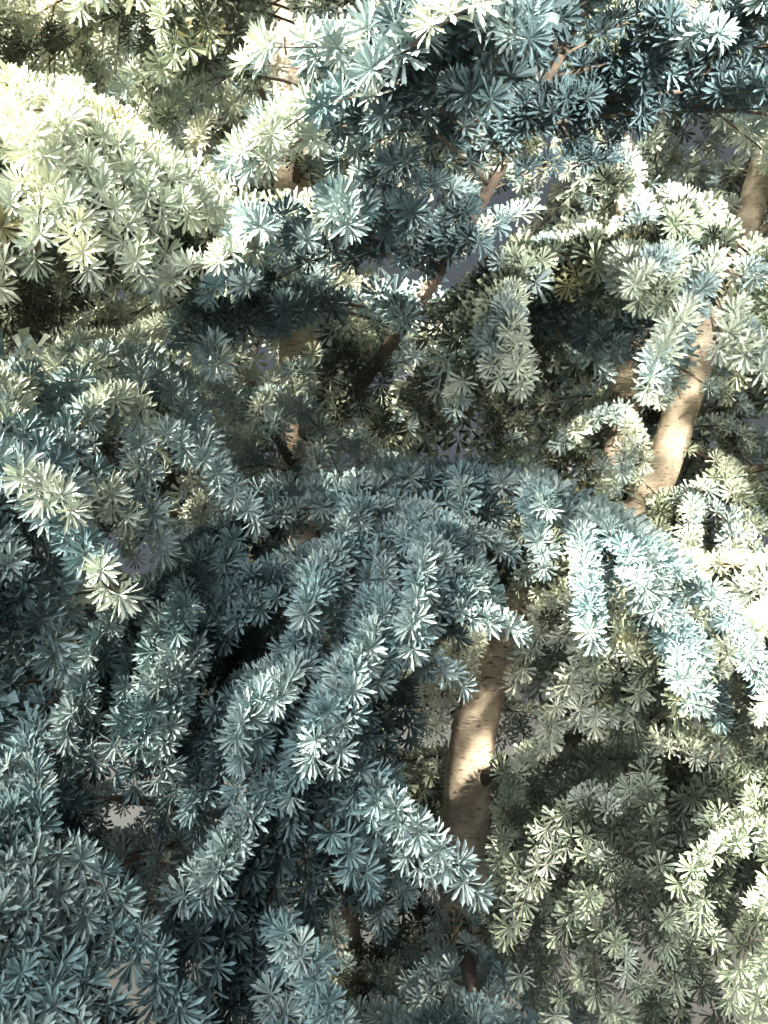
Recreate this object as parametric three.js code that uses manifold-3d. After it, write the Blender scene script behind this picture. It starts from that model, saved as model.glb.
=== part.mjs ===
// A young blue cedar, rooted in the ground: a short trunk that forks low into two leaders, boughs that
// arch out of them, and flat, drooping masses of needle sprays that leave the boughs and the leaders' tops.
// Millimetres, +Z up. The origin is the middle of the flat cut at ground level. The front of the tree is -Y.
// Directions are degrees counterclockwise from +X, seen from above, so 270 is the front and 180 the left.

import * as THREE from 'three';
import { mergeVertices } from 'three/addons/utils/BufferGeometryUtils.js';
import Module from 'manifold-3d';

const wasm = await Module();
wasm.setup();

// Clearances, and the start of the tree's fixed sequence of chances
const GAP = 0.3;
const FINEST_EDGE = 3;
const SEED = 3;
const SPRAY_REACH = 78;
const LIMB_CLEARANCE = 18;
const GROUND_CLEARANCE = 60;

// Trunk, from the flat cut over the lobed root flare to the low fork: [height, half width, half depth, lobes]
const TRUNK = [
  [0, 138, 132, 0.1], [45, 111, 107, 0.07], [130, 97, 92, 0.03], [270, 92, 80, 0], [400, 84, 52, 0],
];
const ROOT_LOBES = 5;

// Leaders, each from inside the limb that carries it to where it enters its topmost mass
const LEADERS = {
  left_leader: {
    carriers: ['trunk'],
    points: [
      [-20, 0, 300, 46], [-85, 0, 620, 60], [-130, 0, 960, 56], [-167, 0, 1500, 52],
      [-205, 20, 2200, 47], [-240, 50, 2910, 38], [-270, 90, 3420, 25], [-295, 120, 3860, 12],
    ],
  },
  right_leader: {
    carriers: ['trunk', 'left_leader'],
    points: [
      [22, 0, 300, 46], [115, 0, 550, 56], [165, 0, 700, 53], [178, 0, 920, 52],
      [190, 0, 1150, 50], [260, 0, 1414, 48], [400, 0, 1600, 45],
    ],
  },
  inner_fork: {
    carriers: ['right_leader'],
    points: [
      [370, 0, 1560, 34], [500, 30, 1740, 35], [555, 40, 1900, 34], [600, 80, 2250, 31],
      [610, 120, 2590, 26], [605, 170, 2950, 19], [590, 220, 3260, 11],
    ],
  },
  outer_fork: {
    carriers: ['right_leader', 'inner_fork'],
    points: [
      [380, -4, 1570, 34], [540, -10, 1660, 41], [630, 0, 1790, 40], [735, 0, 2080, 38],
      [865, 0, 2420, 32], [940, -25, 2720, 23], [990, -60, 2960, 12],
    ],
  },
};

// Sizes that a tier's boughs share. rise and droop are the slopes of the line at its foot and its tip, bare is
// the share of it with no foliage, width is the length of its side twigs and twigDroop the slope of their tips.
// A bough may also turn sideways on its way, taper makes its first and last side twigs longer or shorter, and
// past the share called wing its right-hand twigs stay short.
const UNSHAPED = { turn: 0, taper: [1, 1], wing: 1 };
const TIERS = {
  low: { length: 1420, rise: 28, droop: -45, bare: 0.3, width: 570, twigDroop: -72, twigs: 6, girth: 21 },
  mid: { length: 1330, rise: 32, droop: -48, bare: 0.26, width: 570, twigDroop: -76, twigs: 6, girth: 17 },
  high: { length: 1130, rise: 36, droop: -48, bare: 0.22, width: 520, twigDroop: -76, twigs: 6, girth: 14 },
  upper: { length: 900, rise: 40, droop: -48, bare: 0.2, width: 460, twigDroop: -74, twigs: 5, girth: 12 },
  top: { length: 640, rise: 46, droop: -45, bare: 0.2, width: 380, twigDroop: -70, twigs: 4, girth: 9 },
  tip: { length: 470, rise: 80, droop: 25, bare: 0.05, width: 300, twigDroop: -65, twigs: 5, girth: 9 },
};

// Boughs: name, limb that carries it, height of its foot, direction, tier, and sizes of its own
const BOUGHS = [
  ['weeping', 'left_leader', 1610, 315, 'mid',
    { length: 1410, rise: 49, droop: -86, turn: -105, late: 0.8, bare: 0.34, width: 330, twigDroop: -68,
      twigs: 10, taper: [3.2, 0.2], wing: 0.2 }],
  ['reaching', 'left_leader', 1880, 294, 'mid',
    { length: 1200, rise: 2, droop: 36, bare: 0.42, width: 480, twigDroop: -38, twigs: 8, girth: 26 }],
  ['low_front', 'right_leader', 740, 266, 'low',
    { length: 1230, rise: 30, droop: -20, bare: 0.45, width: 480 }],
  ['low_front_left', 'left_leader', 970, 232, 'low',
    { length: 1380, droop: -58, bare: 0.14, twigs: 9 }],
  ['low_front_right', 'right_leader', 1080, 312, 'low',
    { length: 1250, rise: 42, droop: -60, bare: 0.12, twigs: 9 }],
  ['low_left', 'left_leader', 960, 190, 'low', {}],
  ['low_back_left', 'left_leader', 700, 150, 'low', {}],
  ['low_back_right', 'right_leader', 740, 58, 'low', {}],
  ['low_right', 'right_leader', 900, 10, 'low', {}],
  ['mid_front_left', 'left_leader', 1340, 250, 'mid',
    { length: 1250, rise: 38, droop: -64, twigs: 8 }],
];

// Masses that grow straight from a leader, with their own stem for a bough
const SHORT_BOUGHS = [
  ['low_back', 'right_leader', 860, 104, 'low', { bare: 0.26, girth: 17 }],
  ['mid_front_right', 'right_leader', 1380, 311, 'mid',
    { length: 1200, rise: 46, droop: -60, bare: 0.26, twigs: 10, taper: [0.8, 1.1] }],
  ['mid_over_left', 'left_leader', 1760, 248, 'mid',
    { length: 1150, rise: 42, droop: -62, bare: 0.14, twigs: 7 }],
  ['mid_left', 'left_leader', 1560, 214, 'mid', {}],
  ['mid_back_left', 'left_leader', 1380, 168, 'mid', {}],
  ['mid_back', 'left_leader', 1240, 122, 'mid', {}],
  ['mid_back_right', 'right_leader', 1380, 78, 'mid', {}],
  ['mid_right', 'outer_fork', 1690, 350, 'mid', { length: 1120 }],
  ['mid_right_back', 'right_leader', 1300, 36, 'mid', {}],
  ['high_front_left', 'left_leader', 2080, 247, 'high', { length: 1100, bare: 0.14, twigs: 9 }],
  ['high_left', 'left_leader', 2200, 196, 'high', {}],
  ['high_back_left', 'left_leader', 1940, 146, 'high', {}],
  ['high_back', 'inner_fork', 2180, 108, 'high', {}],
  ['high_back_right', 'outer_fork', 1960, 60, 'high', {}],
  ['high_right', 'outer_fork', 2180, 18, 'high', { length: 1000 }],
  ['high_front_right', 'outer_fork', 2300, 312, 'high', { length: 960 }],
  ['high_inner', 'inner_fork', 2050, 250, 'high', { length: 860, width: 380, twigs: 8 }],
  ['upper_front', 'left_leader', 2450, 284, 'upper', { length: 980, width: 460, twigs: 7 }],
  ['upper_front_left', 'left_leader', 2620, 232, 'upper', { twigs: 7 }],
  ['upper_left', 'left_leader', 2780, 180, 'upper', {}],
  ['upper_back', 'left_leader', 2500, 130, 'upper', {}],
  ['upper_inner', 'inner_fork', 2620, 264, 'upper', { length: 760 }],
  ['upper_back_right', 'inner_fork', 2560, 82, 'upper', {}],
  ['upper_right', 'outer_fork', 2600, 40, 'upper', { length: 780 }],
  ['upper_front_right', 'outer_fork', 2740, 338, 'upper', { length: 720 }],
  ['top_front', 'left_leader', 2960, 262, 'top', { length: 780, width: 420 }],
  ['top_back', 'left_leader', 2980, 96, 'top', { length: 740, width: 420 }],
  ['top_right', 'left_leader', 3080, 350, 'top', { length: 640 }],
  ['top_left', 'left_leader', 3240, 214, 'top', { length: 640 }],
  ['top_back_left', 'left_leader', 3360, 140, 'top', { length: 560 }],
  ['inner_top', 'inner_fork', 2960, 320, 'top', { length: 560 }],
  ['peak_right', 'left_leader', 3540, 30, 'top', { length: 520 }],
];

// Masses that the leaders' tips run into
const TIPS = [
  ['left_tip', 'left_leader', 'tip', 200, { length: 480 }],
  ['inner_tip', 'inner_fork', 'tip', 60, {}],
  ['outer_tip', 'outer_fork', 'tip', 330, {}],
];

// How finely the lines and sections of the limbs are divided
const LIMB_SIDES = 10;
const BOUGH_SIDES = 6;
const BOUGH_STEPS = 5;
const LINE_STEPS = 16;
const SPINE_STEPS = 40;
const HALVINGS = 40;

// A tip mass starts just inside its leader's end, a mass just inside its bough's end, and both are cut clear
const TIP_START = 0.99;
const STEM_OVERLAP = 0.01;

// Girth that a bough still has where it enters its mass, and that its stem has at its tip
const GIRTH_AT_MASS = 0.45;
const GIRTH_AT_TIP = 0.2;

// Side twigs: slope at the foot, spread from the stem at its foot and tip, and how their length varies
const TWIG = { steps: 8, rise: 5, turn: 23, spreadAtFoot: 78, spreadAtTip: 40, shortest: 0.62, evenness: 0.8 };
const PAST_WING = 0.42;
const TURN_AROUND = 137.5;

// Sprays: teeth stand out from a slim core, and a mass's stem ends in a spray of its own
const SPRAY = { across: 118, up: 52, down: 14, pitch: 230, toothPlace: 0.68, core: 0.3, coreUp: 0.55 };
const STEM_SPRAY = { from: 0.5, size: 0.8 };
const FREE_FROM = 0.25;

const BARK = new THREE.MeshStandardMaterial({ color: 0xb6a68f, roughness: 0.85, metalness: 0 });
const BOUGH_BARK = new THREE.MeshStandardMaterial({ color: 0x5d4f45, roughness: 0.9, metalness: 0 });
const NEEDLES = new THREE.MeshStandardMaterial({ color: 0x87a09c, roughness: 0.7, metalness: 0 });

const radians = THREE.MathUtils.degToRad;

// The same number between 0 and 1 for the same two numbers, every time
function chance(i, j) {
  const wave = Math.sin(i * 12.9898 + j * 78.233 + SEED) * 43758.5453;
  return wave - Math.floor(wave);
}

// Lines of the limbs and twigs

function leaderCurve(name) {
  const points = LEADERS[name].points.map(([x, y, z]) => new THREE.Vector3(x, y, z));
  return new THREE.CatmullRomCurve3(points, false, 'catmullrom', 0.5);
}

function leaderRadius(name, share) {
  const { points } = LEADERS[name];
  const place = share * (points.length - 1);
  const first = Math.min(Math.floor(place), points.length - 2);
  return THREE.MathUtils.lerp(points[first][3], points[first + 1][3], place - first);
}

function pointAtHeight(name, height) {
  const curve = leaderCurve(name);
  let low = 0;
  let high = 1;
  for (let halving = 0; halving < HALVINGS; halving += 1) {
    const middle = (low + high) / 2;
    if (curve.getPoint(middle).z < height) low = middle;
    else high = middle;
  }
  return curve.getPoint(low);
}

// A line whose slope goes from rise to droop and whose heading turns as it runs out from its foot
function archingLine({ foot, heading, length, rise, droop, turn = 0, late = 1, steps = LINE_STEPS }) {
  const line = [foot.clone()];
  for (let step = 0; step < steps; step += 1) {
    const share = (step + 0.5) / steps;
    const slope = radians(rise + (droop - rise) * share ** late);
    const way = radians(heading + turn * share);
    const run = Math.cos(slope);
    const move = new THREE.Vector3(run * Math.cos(way), run * Math.sin(way), Math.sin(slope));
    line.push(line[step].clone().addScaledVector(move, length / steps));
  }
  return line;
}

function pointOn(line, share) {
  const place = Math.min(Math.max(share, 0), 1) * (line.length - 1);
  const first = Math.min(Math.floor(place), line.length - 2);
  return line[first].clone().lerp(line[first + 1], place - first);
}

function shares(from, to, steps) {
  return Array.from({ length: steps + 1 }, (_, step) => from + ((to - from) * step) / steps);
}

// Solids

// A closed tube through the points of a line. Each section is a ring of [across, up] offsets about its point,
// counterclockwise seen from the far end.
function tube(line, sections, side) {
  const across = side.clone();
  const along = new THREE.Vector3();
  const up = new THREE.Vector3();
  const corner = new THREE.Vector3();
  const positions = [];
  line.forEach((point, i) => {
    along.copy(line[Math.min(i + 1, line.length - 1)]).sub(line[Math.max(i - 1, 0)]).normalize();
    across.addScaledVector(along, -across.dot(along)).normalize();
    up.crossVectors(along, across);
    for (const [a, b] of sections[i]) {
      corner.copy(point).addScaledVector(across, a).addScaledVector(up, b);
      positions.push(corner.x, corner.y, corner.z);
    }
  });
  const corners = sections[0].length;
  const last = (line.length - 1) * corners;
  const faces = [];
  for (let ring = 0; ring < last; ring += corners) {
    for (let c = 0; c < corners; c += 1) {
      const next = (c + 1) % corners;
      faces.push(ring + c, ring + next, ring + corners + next);
      faces.push(ring + c, ring + corners + next, ring + corners + c);
    }
  }
  for (let c = 1; c < corners - 1; c += 1) {
    faces.push(0, c + 1, c);
    faces.push(last, last + c, last + c + 1);
  }
  const geometry = new THREE.BufferGeometry();
  geometry.setAttribute('position', new THREE.Float32BufferAttribute(positions, 3));
  geometry.setIndex(faces);
  return geometry;
}

function solid(geometry) {
  const merged = mergeVertices(geometry, 1e-4);
  return new wasm.Manifold(new wasm.Mesh({
    numProp: 3,
    vertProperties: new Float32Array(merged.attributes.position.array),
    triVerts: new Uint32Array(merged.index.array),
  }));
}

function ring(radius, sides) {
  return Array.from({ length: sides }, (_, corner) => {
    const angle = (corner * 2 * Math.PI) / sides;
    return [radius * Math.cos(angle), radius * Math.sin(angle)];
  });
}

// The largest of what a cut leaves, as a mesh
function mesh(name, body, material) {
  const largest = body.decompose().sort((a, b) => b.volume() - a.volume())[0];
  const { vertProperties, triVerts } = largest.getMesh();
  const geometry = new THREE.BufferGeometry();
  geometry.setAttribute('position', new THREE.Float32BufferAttribute(vertProperties, 3));
  geometry.setIndex(Array.from(triVerts));
  geometry.computeVertexNormals();
  const piece = new THREE.Mesh(geometry, material);
  piece.name = name;
  return piece;
}

// Trunk and leaders, with each one's grown outline to cut what it carries clear of it

const limbs = {};

function leaderTube(name, extra) {
  const steps = LEADERS[name].points.length;
  const curve = leaderCurve(name);
  const places = shares(0, 1, steps);
  const line = places.map((share) => curve.getPoint(share));
  const sections = places.map((share) => ring(leaderRadius(name, share) + extra, LIMB_SIDES));
  line[steps].addScaledVector(curve.getTangent(1), extra);
  return solid(tube(line, sections, new THREE.Vector3(0, 1, 0)));
}

function trunkSection([, width, depth, lobes], extra) {
  return ring(1, LIMB_SIDES).map(([a, b], corner) => {
    const lobe = 1 + lobes * Math.cos((corner * ROOT_LOBES * 2 * Math.PI) / LIMB_SIDES);
    return [a * (depth * lobe + extra), b * (width * lobe + extra)];
  });
}

function trunkTube(extra) {
  const line = TRUNK.map(([height]) => new THREE.Vector3(0, 0, height));
  line[line.length - 1].z += extra;
  return solid(tube(line, TRUNK.map((row) => trunkSection(row, extra)), new THREE.Vector3(0, 1, 0)));
}

// Points down the middle of a limb, each with the limb's radius there
function spineOf(pointAt, radiusAt, last) {
  return shares(0, last, SPINE_STEPS).map((share) => ({ point: pointAt(share), radius: radiusAt(share) }));
}

limbs.trunk = {
  body: trunkTube(0),
  outline: trunkTube(GAP),
  spine: TRUNK.map(([height, width]) => ({ point: new THREE.Vector3(0, 0, height), radius: width })),
};
for (const [name, { carriers }] of Object.entries(LEADERS)) {
  let body = leaderTube(name, 0);
  for (const carrier of carriers) body = body.subtract(limbs[carrier].outline);
  const curve = leaderCurve(name);
  limbs[name] = {
    body,
    outline: leaderTube(name, GAP),
    spine: spineOf((share) => curve.getPoint(share), (share) => leaderRadius(name, share), 1),
  };
}

// Boughs and the stems of the masses

function boughOf([name, carrier, height, heading, tier, own]) {
  const sizes = { ...UNSHAPED, ...TIERS[tier], ...own };
  const line = archingLine({ foot: pointAtHeight(carrier, height), heading, ...sizes });
  return { name, carrier, heading, line, ...sizes };
}

function tipOf([name, carrier, tier, heading, own]) {
  const sizes = { ...UNSHAPED, ...TIERS[tier], ...own };
  const foot = leaderCurve(carrier).getPoint(TIP_START);
  return { name, carrier, heading, line: archingLine({ foot, heading, ...sizes }), around: true, ...sizes };
}

function sideOf(heading) {
  return new THREE.Vector3(-Math.sin(radians(heading)), Math.cos(radians(heading)), 0);
}

// A bough tapers from its girth at the foot, and the stem of its mass goes on from there to a thin tip
function boughRadius({ girth, bare }, share) {
  if (share < bare) return girth * THREE.MathUtils.lerp(1, GIRTH_AT_MASS, share / bare);
  return girth * THREE.MathUtils.lerp(GIRTH_AT_MASS, GIRTH_AT_TIP, (share - bare) / (1 - bare));
}

function boughBody(bough, extra) {
  const places = shares(0, bough.bare, BOUGH_STEPS);
  const line = places.map((share) => pointOn(bough.line, share));
  const sections = places.map((share) => ring(boughRadius(bough, share) + extra, BOUGH_SIDES));
  const along = line[BOUGH_STEPS].clone().sub(line[BOUGH_STEPS - 1]).normalize();
  line[BOUGH_STEPS].addScaledVector(along, extra);
  return solid(tube(line, sections, sideOf(bough.heading)));
}

// Side twigs leave a mass's stem by turns to the left and the right, or all round it at the tip of a leader
function twigOf(bough, i) {
  const share = (i + 0.5) / bough.twigs;
  const place = THREE.MathUtils.lerp(bough.bare, 1, share);
  const turn = i % 2 === 1 ? 1 : -1;
  const sideways = turn * THREE.MathUtils.lerp(TWIG.spreadAtFoot, TWIG.spreadAtTip, share);
  const heading = bough.heading + bough.turn * place + (bough.around ? i * TURN_AROUND : sideways);
  const swelling = Math.sin(Math.PI * THREE.MathUtils.lerp(0.1, 0.9, share));
  const luck = THREE.MathUtils.lerp(TWIG.evenness, 2 - TWIG.evenness, chance(i, bough.heading));
  const [first, last] = bough.taper;
  const side = turn > 0 && share > bough.wing ? PAST_WING : 1;
  const width = bough.width * first * (last / first) ** share * side;
  const length = width * THREE.MathUtils.lerp(TWIG.shortest, 1, swelling) * luck;
  const line = archingLine({
    foot: pointOn(bough.line, place),
    heading,
    length,
    rise: TWIG.rise,
    droop: bough.twigDroop,
    turn: -turn * TWIG.turn,
    steps: TWIG.steps,
  });
  return { line, length, heading };
}

// A spray's section: two teeth level with the twig and one above it, or the slim core between two rows of teeth
function spraySection(size, isTooth) {
  const share = isTooth ? size : size * SPRAY.core;
  const up = SPRAY.up * size * (isTooth ? 1 : SPRAY.coreUp);
  return [[SPRAY.across * share, -SPRAY.down * share], [0, up], [-SPRAY.across * share, -SPRAY.down * share]];
}

// A spray swells from its root and closes towards its tip
function fullnessAt(share) {
  return THREE.MathUtils.lerp(0.25, 1, Math.sin(Math.PI * THREE.MathUtils.lerp(0.12, 0.9, share)));
}

// Places of the cores and teeth between two shares of a line of this length, in order from its root
function toothPlaces(from, to, length) {
  const teeth = Math.max(2, Math.round(length / SPRAY.pitch));
  const places = [];
  for (let tooth = 0; tooth < teeth; tooth += 1) {
    places.push([tooth / teeth, false], [(tooth + SPRAY.toothPlace) / teeth, true]);
  }
  places.push([1, false]);
  return places.map(([share, isTooth]) => ({ place: THREE.MathUtils.lerp(from, to, share), share, isTooth }));
}

function sprayBody({ line, length, heading }) {
  const places = toothPlaces(0, 1, length);
  const points = places.map(({ place }) => pointOn(line, place));
  const sections = places.map(({ share, isTooth }) => spraySection(fullnessAt(share), isTooth));
  return solid(tube(points, sections, sideOf(heading)));
}

// The stem starts bare and three-sided, and ends as a spray of its own
function stemBody(bough, start) {
  const leafy = THREE.MathUtils.lerp(bough.bare, 1, STEM_SPRAY.from);
  const bare = shares(start, leafy, 3).slice(0, -1);
  const points = bare.map((share) => pointOn(bough.line, share));
  const sections = bare.map((share) => {
    const radius = boughRadius(bough, share);
    return [[radius, -radius / 2], [0, radius], [-radius, -radius / 2]];
  });
  for (const { place, share, isTooth } of toothPlaces(leafy, 1, bough.length * (1 - leafy))) {
    points.push(pointOn(bough.line, place));
    sections.push(spraySection(fullnessAt(share) * STEM_SPRAY.size, isTooth));
  }
  return solid(tube(points, sections, sideOf(bough.heading)));
}

const boughs = BOUGHS.map(boughOf);
const shortBoughs = SHORT_BOUGHS.map(boughOf);
const tips = TIPS.map(tipOf);

// Own space: a spray is skipped where it would touch a limb, the ground, or another mass's stem or sprays.
// Every stem is laid out before any spray.
const grown = [];
for (const bough of [...boughs, ...shortBoughs, ...tips]) {
  for (const share of shares(bough.bare, 1, 10)) {
    grown.push({ point: pointOn(bough.line, share), owner: bough.name });
  }
}

const spines = Object.values(limbs).flatMap((limb) => limb.spine);
for (const bough of boughs) {
  const pointAt = (share) => pointOn(bough.line, share);
  spines.push(...spineOf(pointAt, (share) => boughRadius(bough, share), bough.bare));
}

function isFree(point, bough) {
  if (point.z < GROUND_CLEARANCE) return false;
  const crowded = grown.some((other) => (
    other.owner !== bough.name && other.point.distanceTo(point) < 2 * SPRAY_REACH));
  const touching = spines.some((limb) => (
    limb.point.distanceTo(point) < limb.radius + SPRAY_REACH + LIMB_CLEARANCE));
  return !crowded && !touching;
}

function massBody(bough, start) {
  let body = stemBody(bough, start);
  for (let i = 0; i < bough.twigs; i += 1) {
    const twig = twigOf(bough, i);
    const reach = shares(FREE_FROM, 1, 6).map((share) => pointOn(twig.line, share));
    if (!reach.every((point) => isFree(point, bough))) continue;
    for (const point of reach) grown.push({ point, owner: bough.name });
    body = body.add(sprayBody(twig));
  }
  return body.simplify(FINEST_EDGE);
}

const tree = new THREE.Group();

for (const [name, limb] of Object.entries(limbs)) tree.add(mesh(name, limb.body, BARK));

for (const bough of boughs) {
  const body = boughBody(bough, 0).subtract(limbs[bough.carrier].outline);
  const foliage = massBody(bough, bough.bare - STEM_OVERLAP).subtract(boughBody(bough, GAP));
  tree.add(mesh(`${bough.name}_bough`, body, BOUGH_BARK));
  tree.add(mesh(`${bough.name}_mass`, foliage, NEEDLES));
}

for (const bough of [...shortBoughs, ...tips]) {
  const body = massBody(bough, 0).subtract(limbs[bough.carrier].outline);
  tree.add(mesh(`${bough.name}_mass`, body, NEEDLES));
}

export default tree;
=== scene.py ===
# %% [markdown]
# # A young blue cedar
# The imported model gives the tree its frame: a low-forking trunk, two leaders, ten long boughs and
# forty-five masses of foliage. This file dresses it. Each limb gets living bark, and each mass becomes what
# it is on the real tree: a stem, side twigs, branchlets on the twigs, and on the branchlets the small
# brushes of needles that make a blue cedar look frosted.
#
# Everything is in metres, +Z up, and the front of the tree is -Y. Directions are degrees counterclockwise
# from +X, seen from above.

import math

import bpy
import numpy as np
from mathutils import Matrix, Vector, noise


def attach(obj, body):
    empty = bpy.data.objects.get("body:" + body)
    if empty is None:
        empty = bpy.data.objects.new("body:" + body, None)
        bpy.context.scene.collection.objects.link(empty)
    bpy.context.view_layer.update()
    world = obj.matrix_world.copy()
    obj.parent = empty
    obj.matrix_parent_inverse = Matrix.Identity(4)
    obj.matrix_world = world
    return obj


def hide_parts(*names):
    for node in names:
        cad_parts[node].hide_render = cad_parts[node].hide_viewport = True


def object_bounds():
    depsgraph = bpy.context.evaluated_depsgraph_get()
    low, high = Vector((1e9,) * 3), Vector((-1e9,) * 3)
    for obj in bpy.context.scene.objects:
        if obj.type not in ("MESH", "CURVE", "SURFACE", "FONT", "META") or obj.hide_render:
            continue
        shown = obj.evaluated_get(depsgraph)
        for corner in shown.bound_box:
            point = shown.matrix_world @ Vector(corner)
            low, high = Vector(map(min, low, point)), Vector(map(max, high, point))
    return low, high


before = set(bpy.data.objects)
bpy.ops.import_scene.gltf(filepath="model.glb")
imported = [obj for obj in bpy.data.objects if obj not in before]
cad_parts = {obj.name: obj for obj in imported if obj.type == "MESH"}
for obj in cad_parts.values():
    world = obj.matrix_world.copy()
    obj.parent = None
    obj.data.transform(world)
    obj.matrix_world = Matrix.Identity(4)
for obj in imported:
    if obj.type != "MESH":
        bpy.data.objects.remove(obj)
CAD_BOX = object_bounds()
print("frame:", len(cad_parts), "nodes, box", [tuple(round(x, 3) for x in corner) for corner in CAD_BOX])

# %% [markdown]
# ## The camera
# The viewer stands close to the crown, a little below head height, and looks slightly upwards, so the lens
# is short and foliage fills the frame. A camera object could be aimed with a constraint, but a fixed place
# and tilt say more plainly how the tree is seen.

# %% Place the camera
VIEWPOINT = np.array([0.0, -1.75, 1.55])
VIEW_TILT = math.radians(5)
LENS = 27.07

camera_data = bpy.data.cameras.new("viewer")
camera_data.sensor_width = 36
camera_data.lens = LENS
camera_data.clip_start = 0.02
camera = bpy.data.objects.new("viewer", camera_data)
camera.location = VIEWPOINT
camera.rotation_euler = (math.radians(90) + VIEW_TILT, 0, 0)
bpy.context.scene.collection.objects.link(camera)
bpy.context.scene.camera = camera
print("camera at", VIEWPOINT, "lens", LENS, "mm")

# %% [markdown]
# ## Sizes of the tree
# The limbs stand in rows of named sizes. A leader is a curve through a few points with a radius at each,
# and a bough is one arching line that starts on a leader at some height and heads off in some direction.
# Boughs of one tier share their sizes, and a row holds only what is its own. The foliage grows from the
# same rows, so a twig always stands on the limb that carries it.

# %% Rows of the limbs
# Each row of the trunk has a height, half the width, half the depth, and how far the root lobes stand out.
# Each row of a leader has a point and the radius there.
TRUNK = [
    (0.000, 0.138, 0.132, 0.10),
    (0.045, 0.111, 0.107, 0.07),
    (0.130, 0.097, 0.092, 0.03),
    (0.270, 0.092, 0.080, 0.00),
    (0.400, 0.084, 0.052, 0.00),
]
ROOT_LOBES = 5
LEADERS = {
    "left_leader": [
        (-0.020, 0.000, 0.300, 0.046), (-0.085, 0.000, 0.620, 0.060), (-0.130, 0.000, 0.960, 0.056),
        (-0.167, 0.000, 1.500, 0.052), (-0.205, 0.020, 2.200, 0.047), (-0.240, 0.050, 2.910, 0.038),
        (-0.270, 0.090, 3.420, 0.025), (-0.295, 0.120, 3.860, 0.012),
    ],
    "right_leader": [
        (0.022, 0.000, 0.300, 0.046), (0.115, 0.000, 0.550, 0.056), (0.165, 0.000, 0.700, 0.053),
        (0.178, 0.000, 0.920, 0.052), (0.190, 0.000, 1.150, 0.050), (0.260, 0.000, 1.414, 0.048),
        (0.400, 0.000, 1.600, 0.045),
    ],
    "inner_fork": [
        (0.370, 0.000, 1.560, 0.034), (0.500, 0.030, 1.740, 0.035), (0.555, 0.040, 1.900, 0.034),
        (0.600, 0.080, 2.250, 0.031), (0.610, 0.120, 2.590, 0.026), (0.605, 0.170, 2.950, 0.019),
        (0.590, 0.220, 3.260, 0.011),
    ],
    "outer_fork": [
        (0.380, -0.004, 1.570, 0.034), (0.540, -0.010, 1.660, 0.041), (0.630, 0.000, 1.790, 0.040),
        (0.735, 0.000, 2.080, 0.038), (0.865, 0.000, 2.420, 0.032), (0.940, -0.025, 2.720, 0.023),
        (0.990, -0.060, 2.960, 0.012),
    ],
}
print("leaders:", ", ".join(LEADERS))

# %% Rows of the boughs
# A tier's rise and droop are the slopes at a stem's foot and tip, in degrees. Foliage starts at the share
# that is called bare, width is the reach of the longest side twig, and girth is the radius at the foot.
TIERS = {
    "low": dict(length=1.42, rise=28, droop=-45, bare=0.3, width=0.57, twig_droop=-72, twigs=6, girth=0.021),
    "mid": dict(length=1.33, rise=32, droop=-48, bare=0.26, width=0.57, twig_droop=-76, twigs=6, girth=0.017),
    "high": dict(length=1.13, rise=36, droop=-48, bare=0.22, width=0.52, twig_droop=-76, twigs=6, girth=.014),
    "upper": dict(length=0.9, rise=40, droop=-48, bare=0.2, width=0.46, twig_droop=-74, twigs=5, girth=0.012),
    "top": dict(length=0.64, rise=46, droop=-45, bare=0.2, width=0.38, twig_droop=-70, twigs=4, girth=0.009),
    "tip": dict(length=0.47, rise=80, droop=25, bare=0.05, width=0.3, twig_droop=-65, twigs=5, girth=0.009),
}
# Each row has a name, the leader that carries it, the height of its foot, its heading, its tier and what is
# its own: taper is how the twigs' reach changes from foot to tip, and past the wing share one side is short.
BOUGHS = [
    ("weeping", "left_leader", 1.61, 315, "mid",
     dict(length=1.41, rise=49, droop=-86, turn=-105, late=0.8, bare=0.34, width=0.33, twig_droop=-68,
          twigs=10, taper=(3.2, 0.2), wing=0.2)),
    ("reaching", "left_leader", 1.88, 294, "mid",
     dict(length=1.2, rise=2, droop=36, bare=0.42, width=0.48, twig_droop=-38, twigs=8, girth=0.026)),
    ("low_front", "right_leader", 0.74, 266, "low",
     dict(length=1.23, rise=30, droop=-20, bare=0.45, width=0.48)),
    ("low_front_left", "left_leader", 0.97, 232, "low", dict(length=1.38, droop=-58, bare=0.14, twigs=9)),
    ("low_front_right", "right_leader", 1.08, 312, "low",
     dict(length=1.25, rise=42, droop=-60, bare=0.12, twigs=9)),
    ("low_left", "left_leader", 0.96, 190, "low", {}),
    ("low_back_left", "left_leader", 0.7, 150, "low", {}),
    ("low_back_right", "right_leader", 0.74, 58, "low", {}),
    ("low_right", "right_leader", 0.9, 10, "low", {}),
    ("mid_front_left", "left_leader", 1.34, 250, "mid", dict(length=1.25, rise=38, droop=-64, twigs=8)),
]
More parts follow.
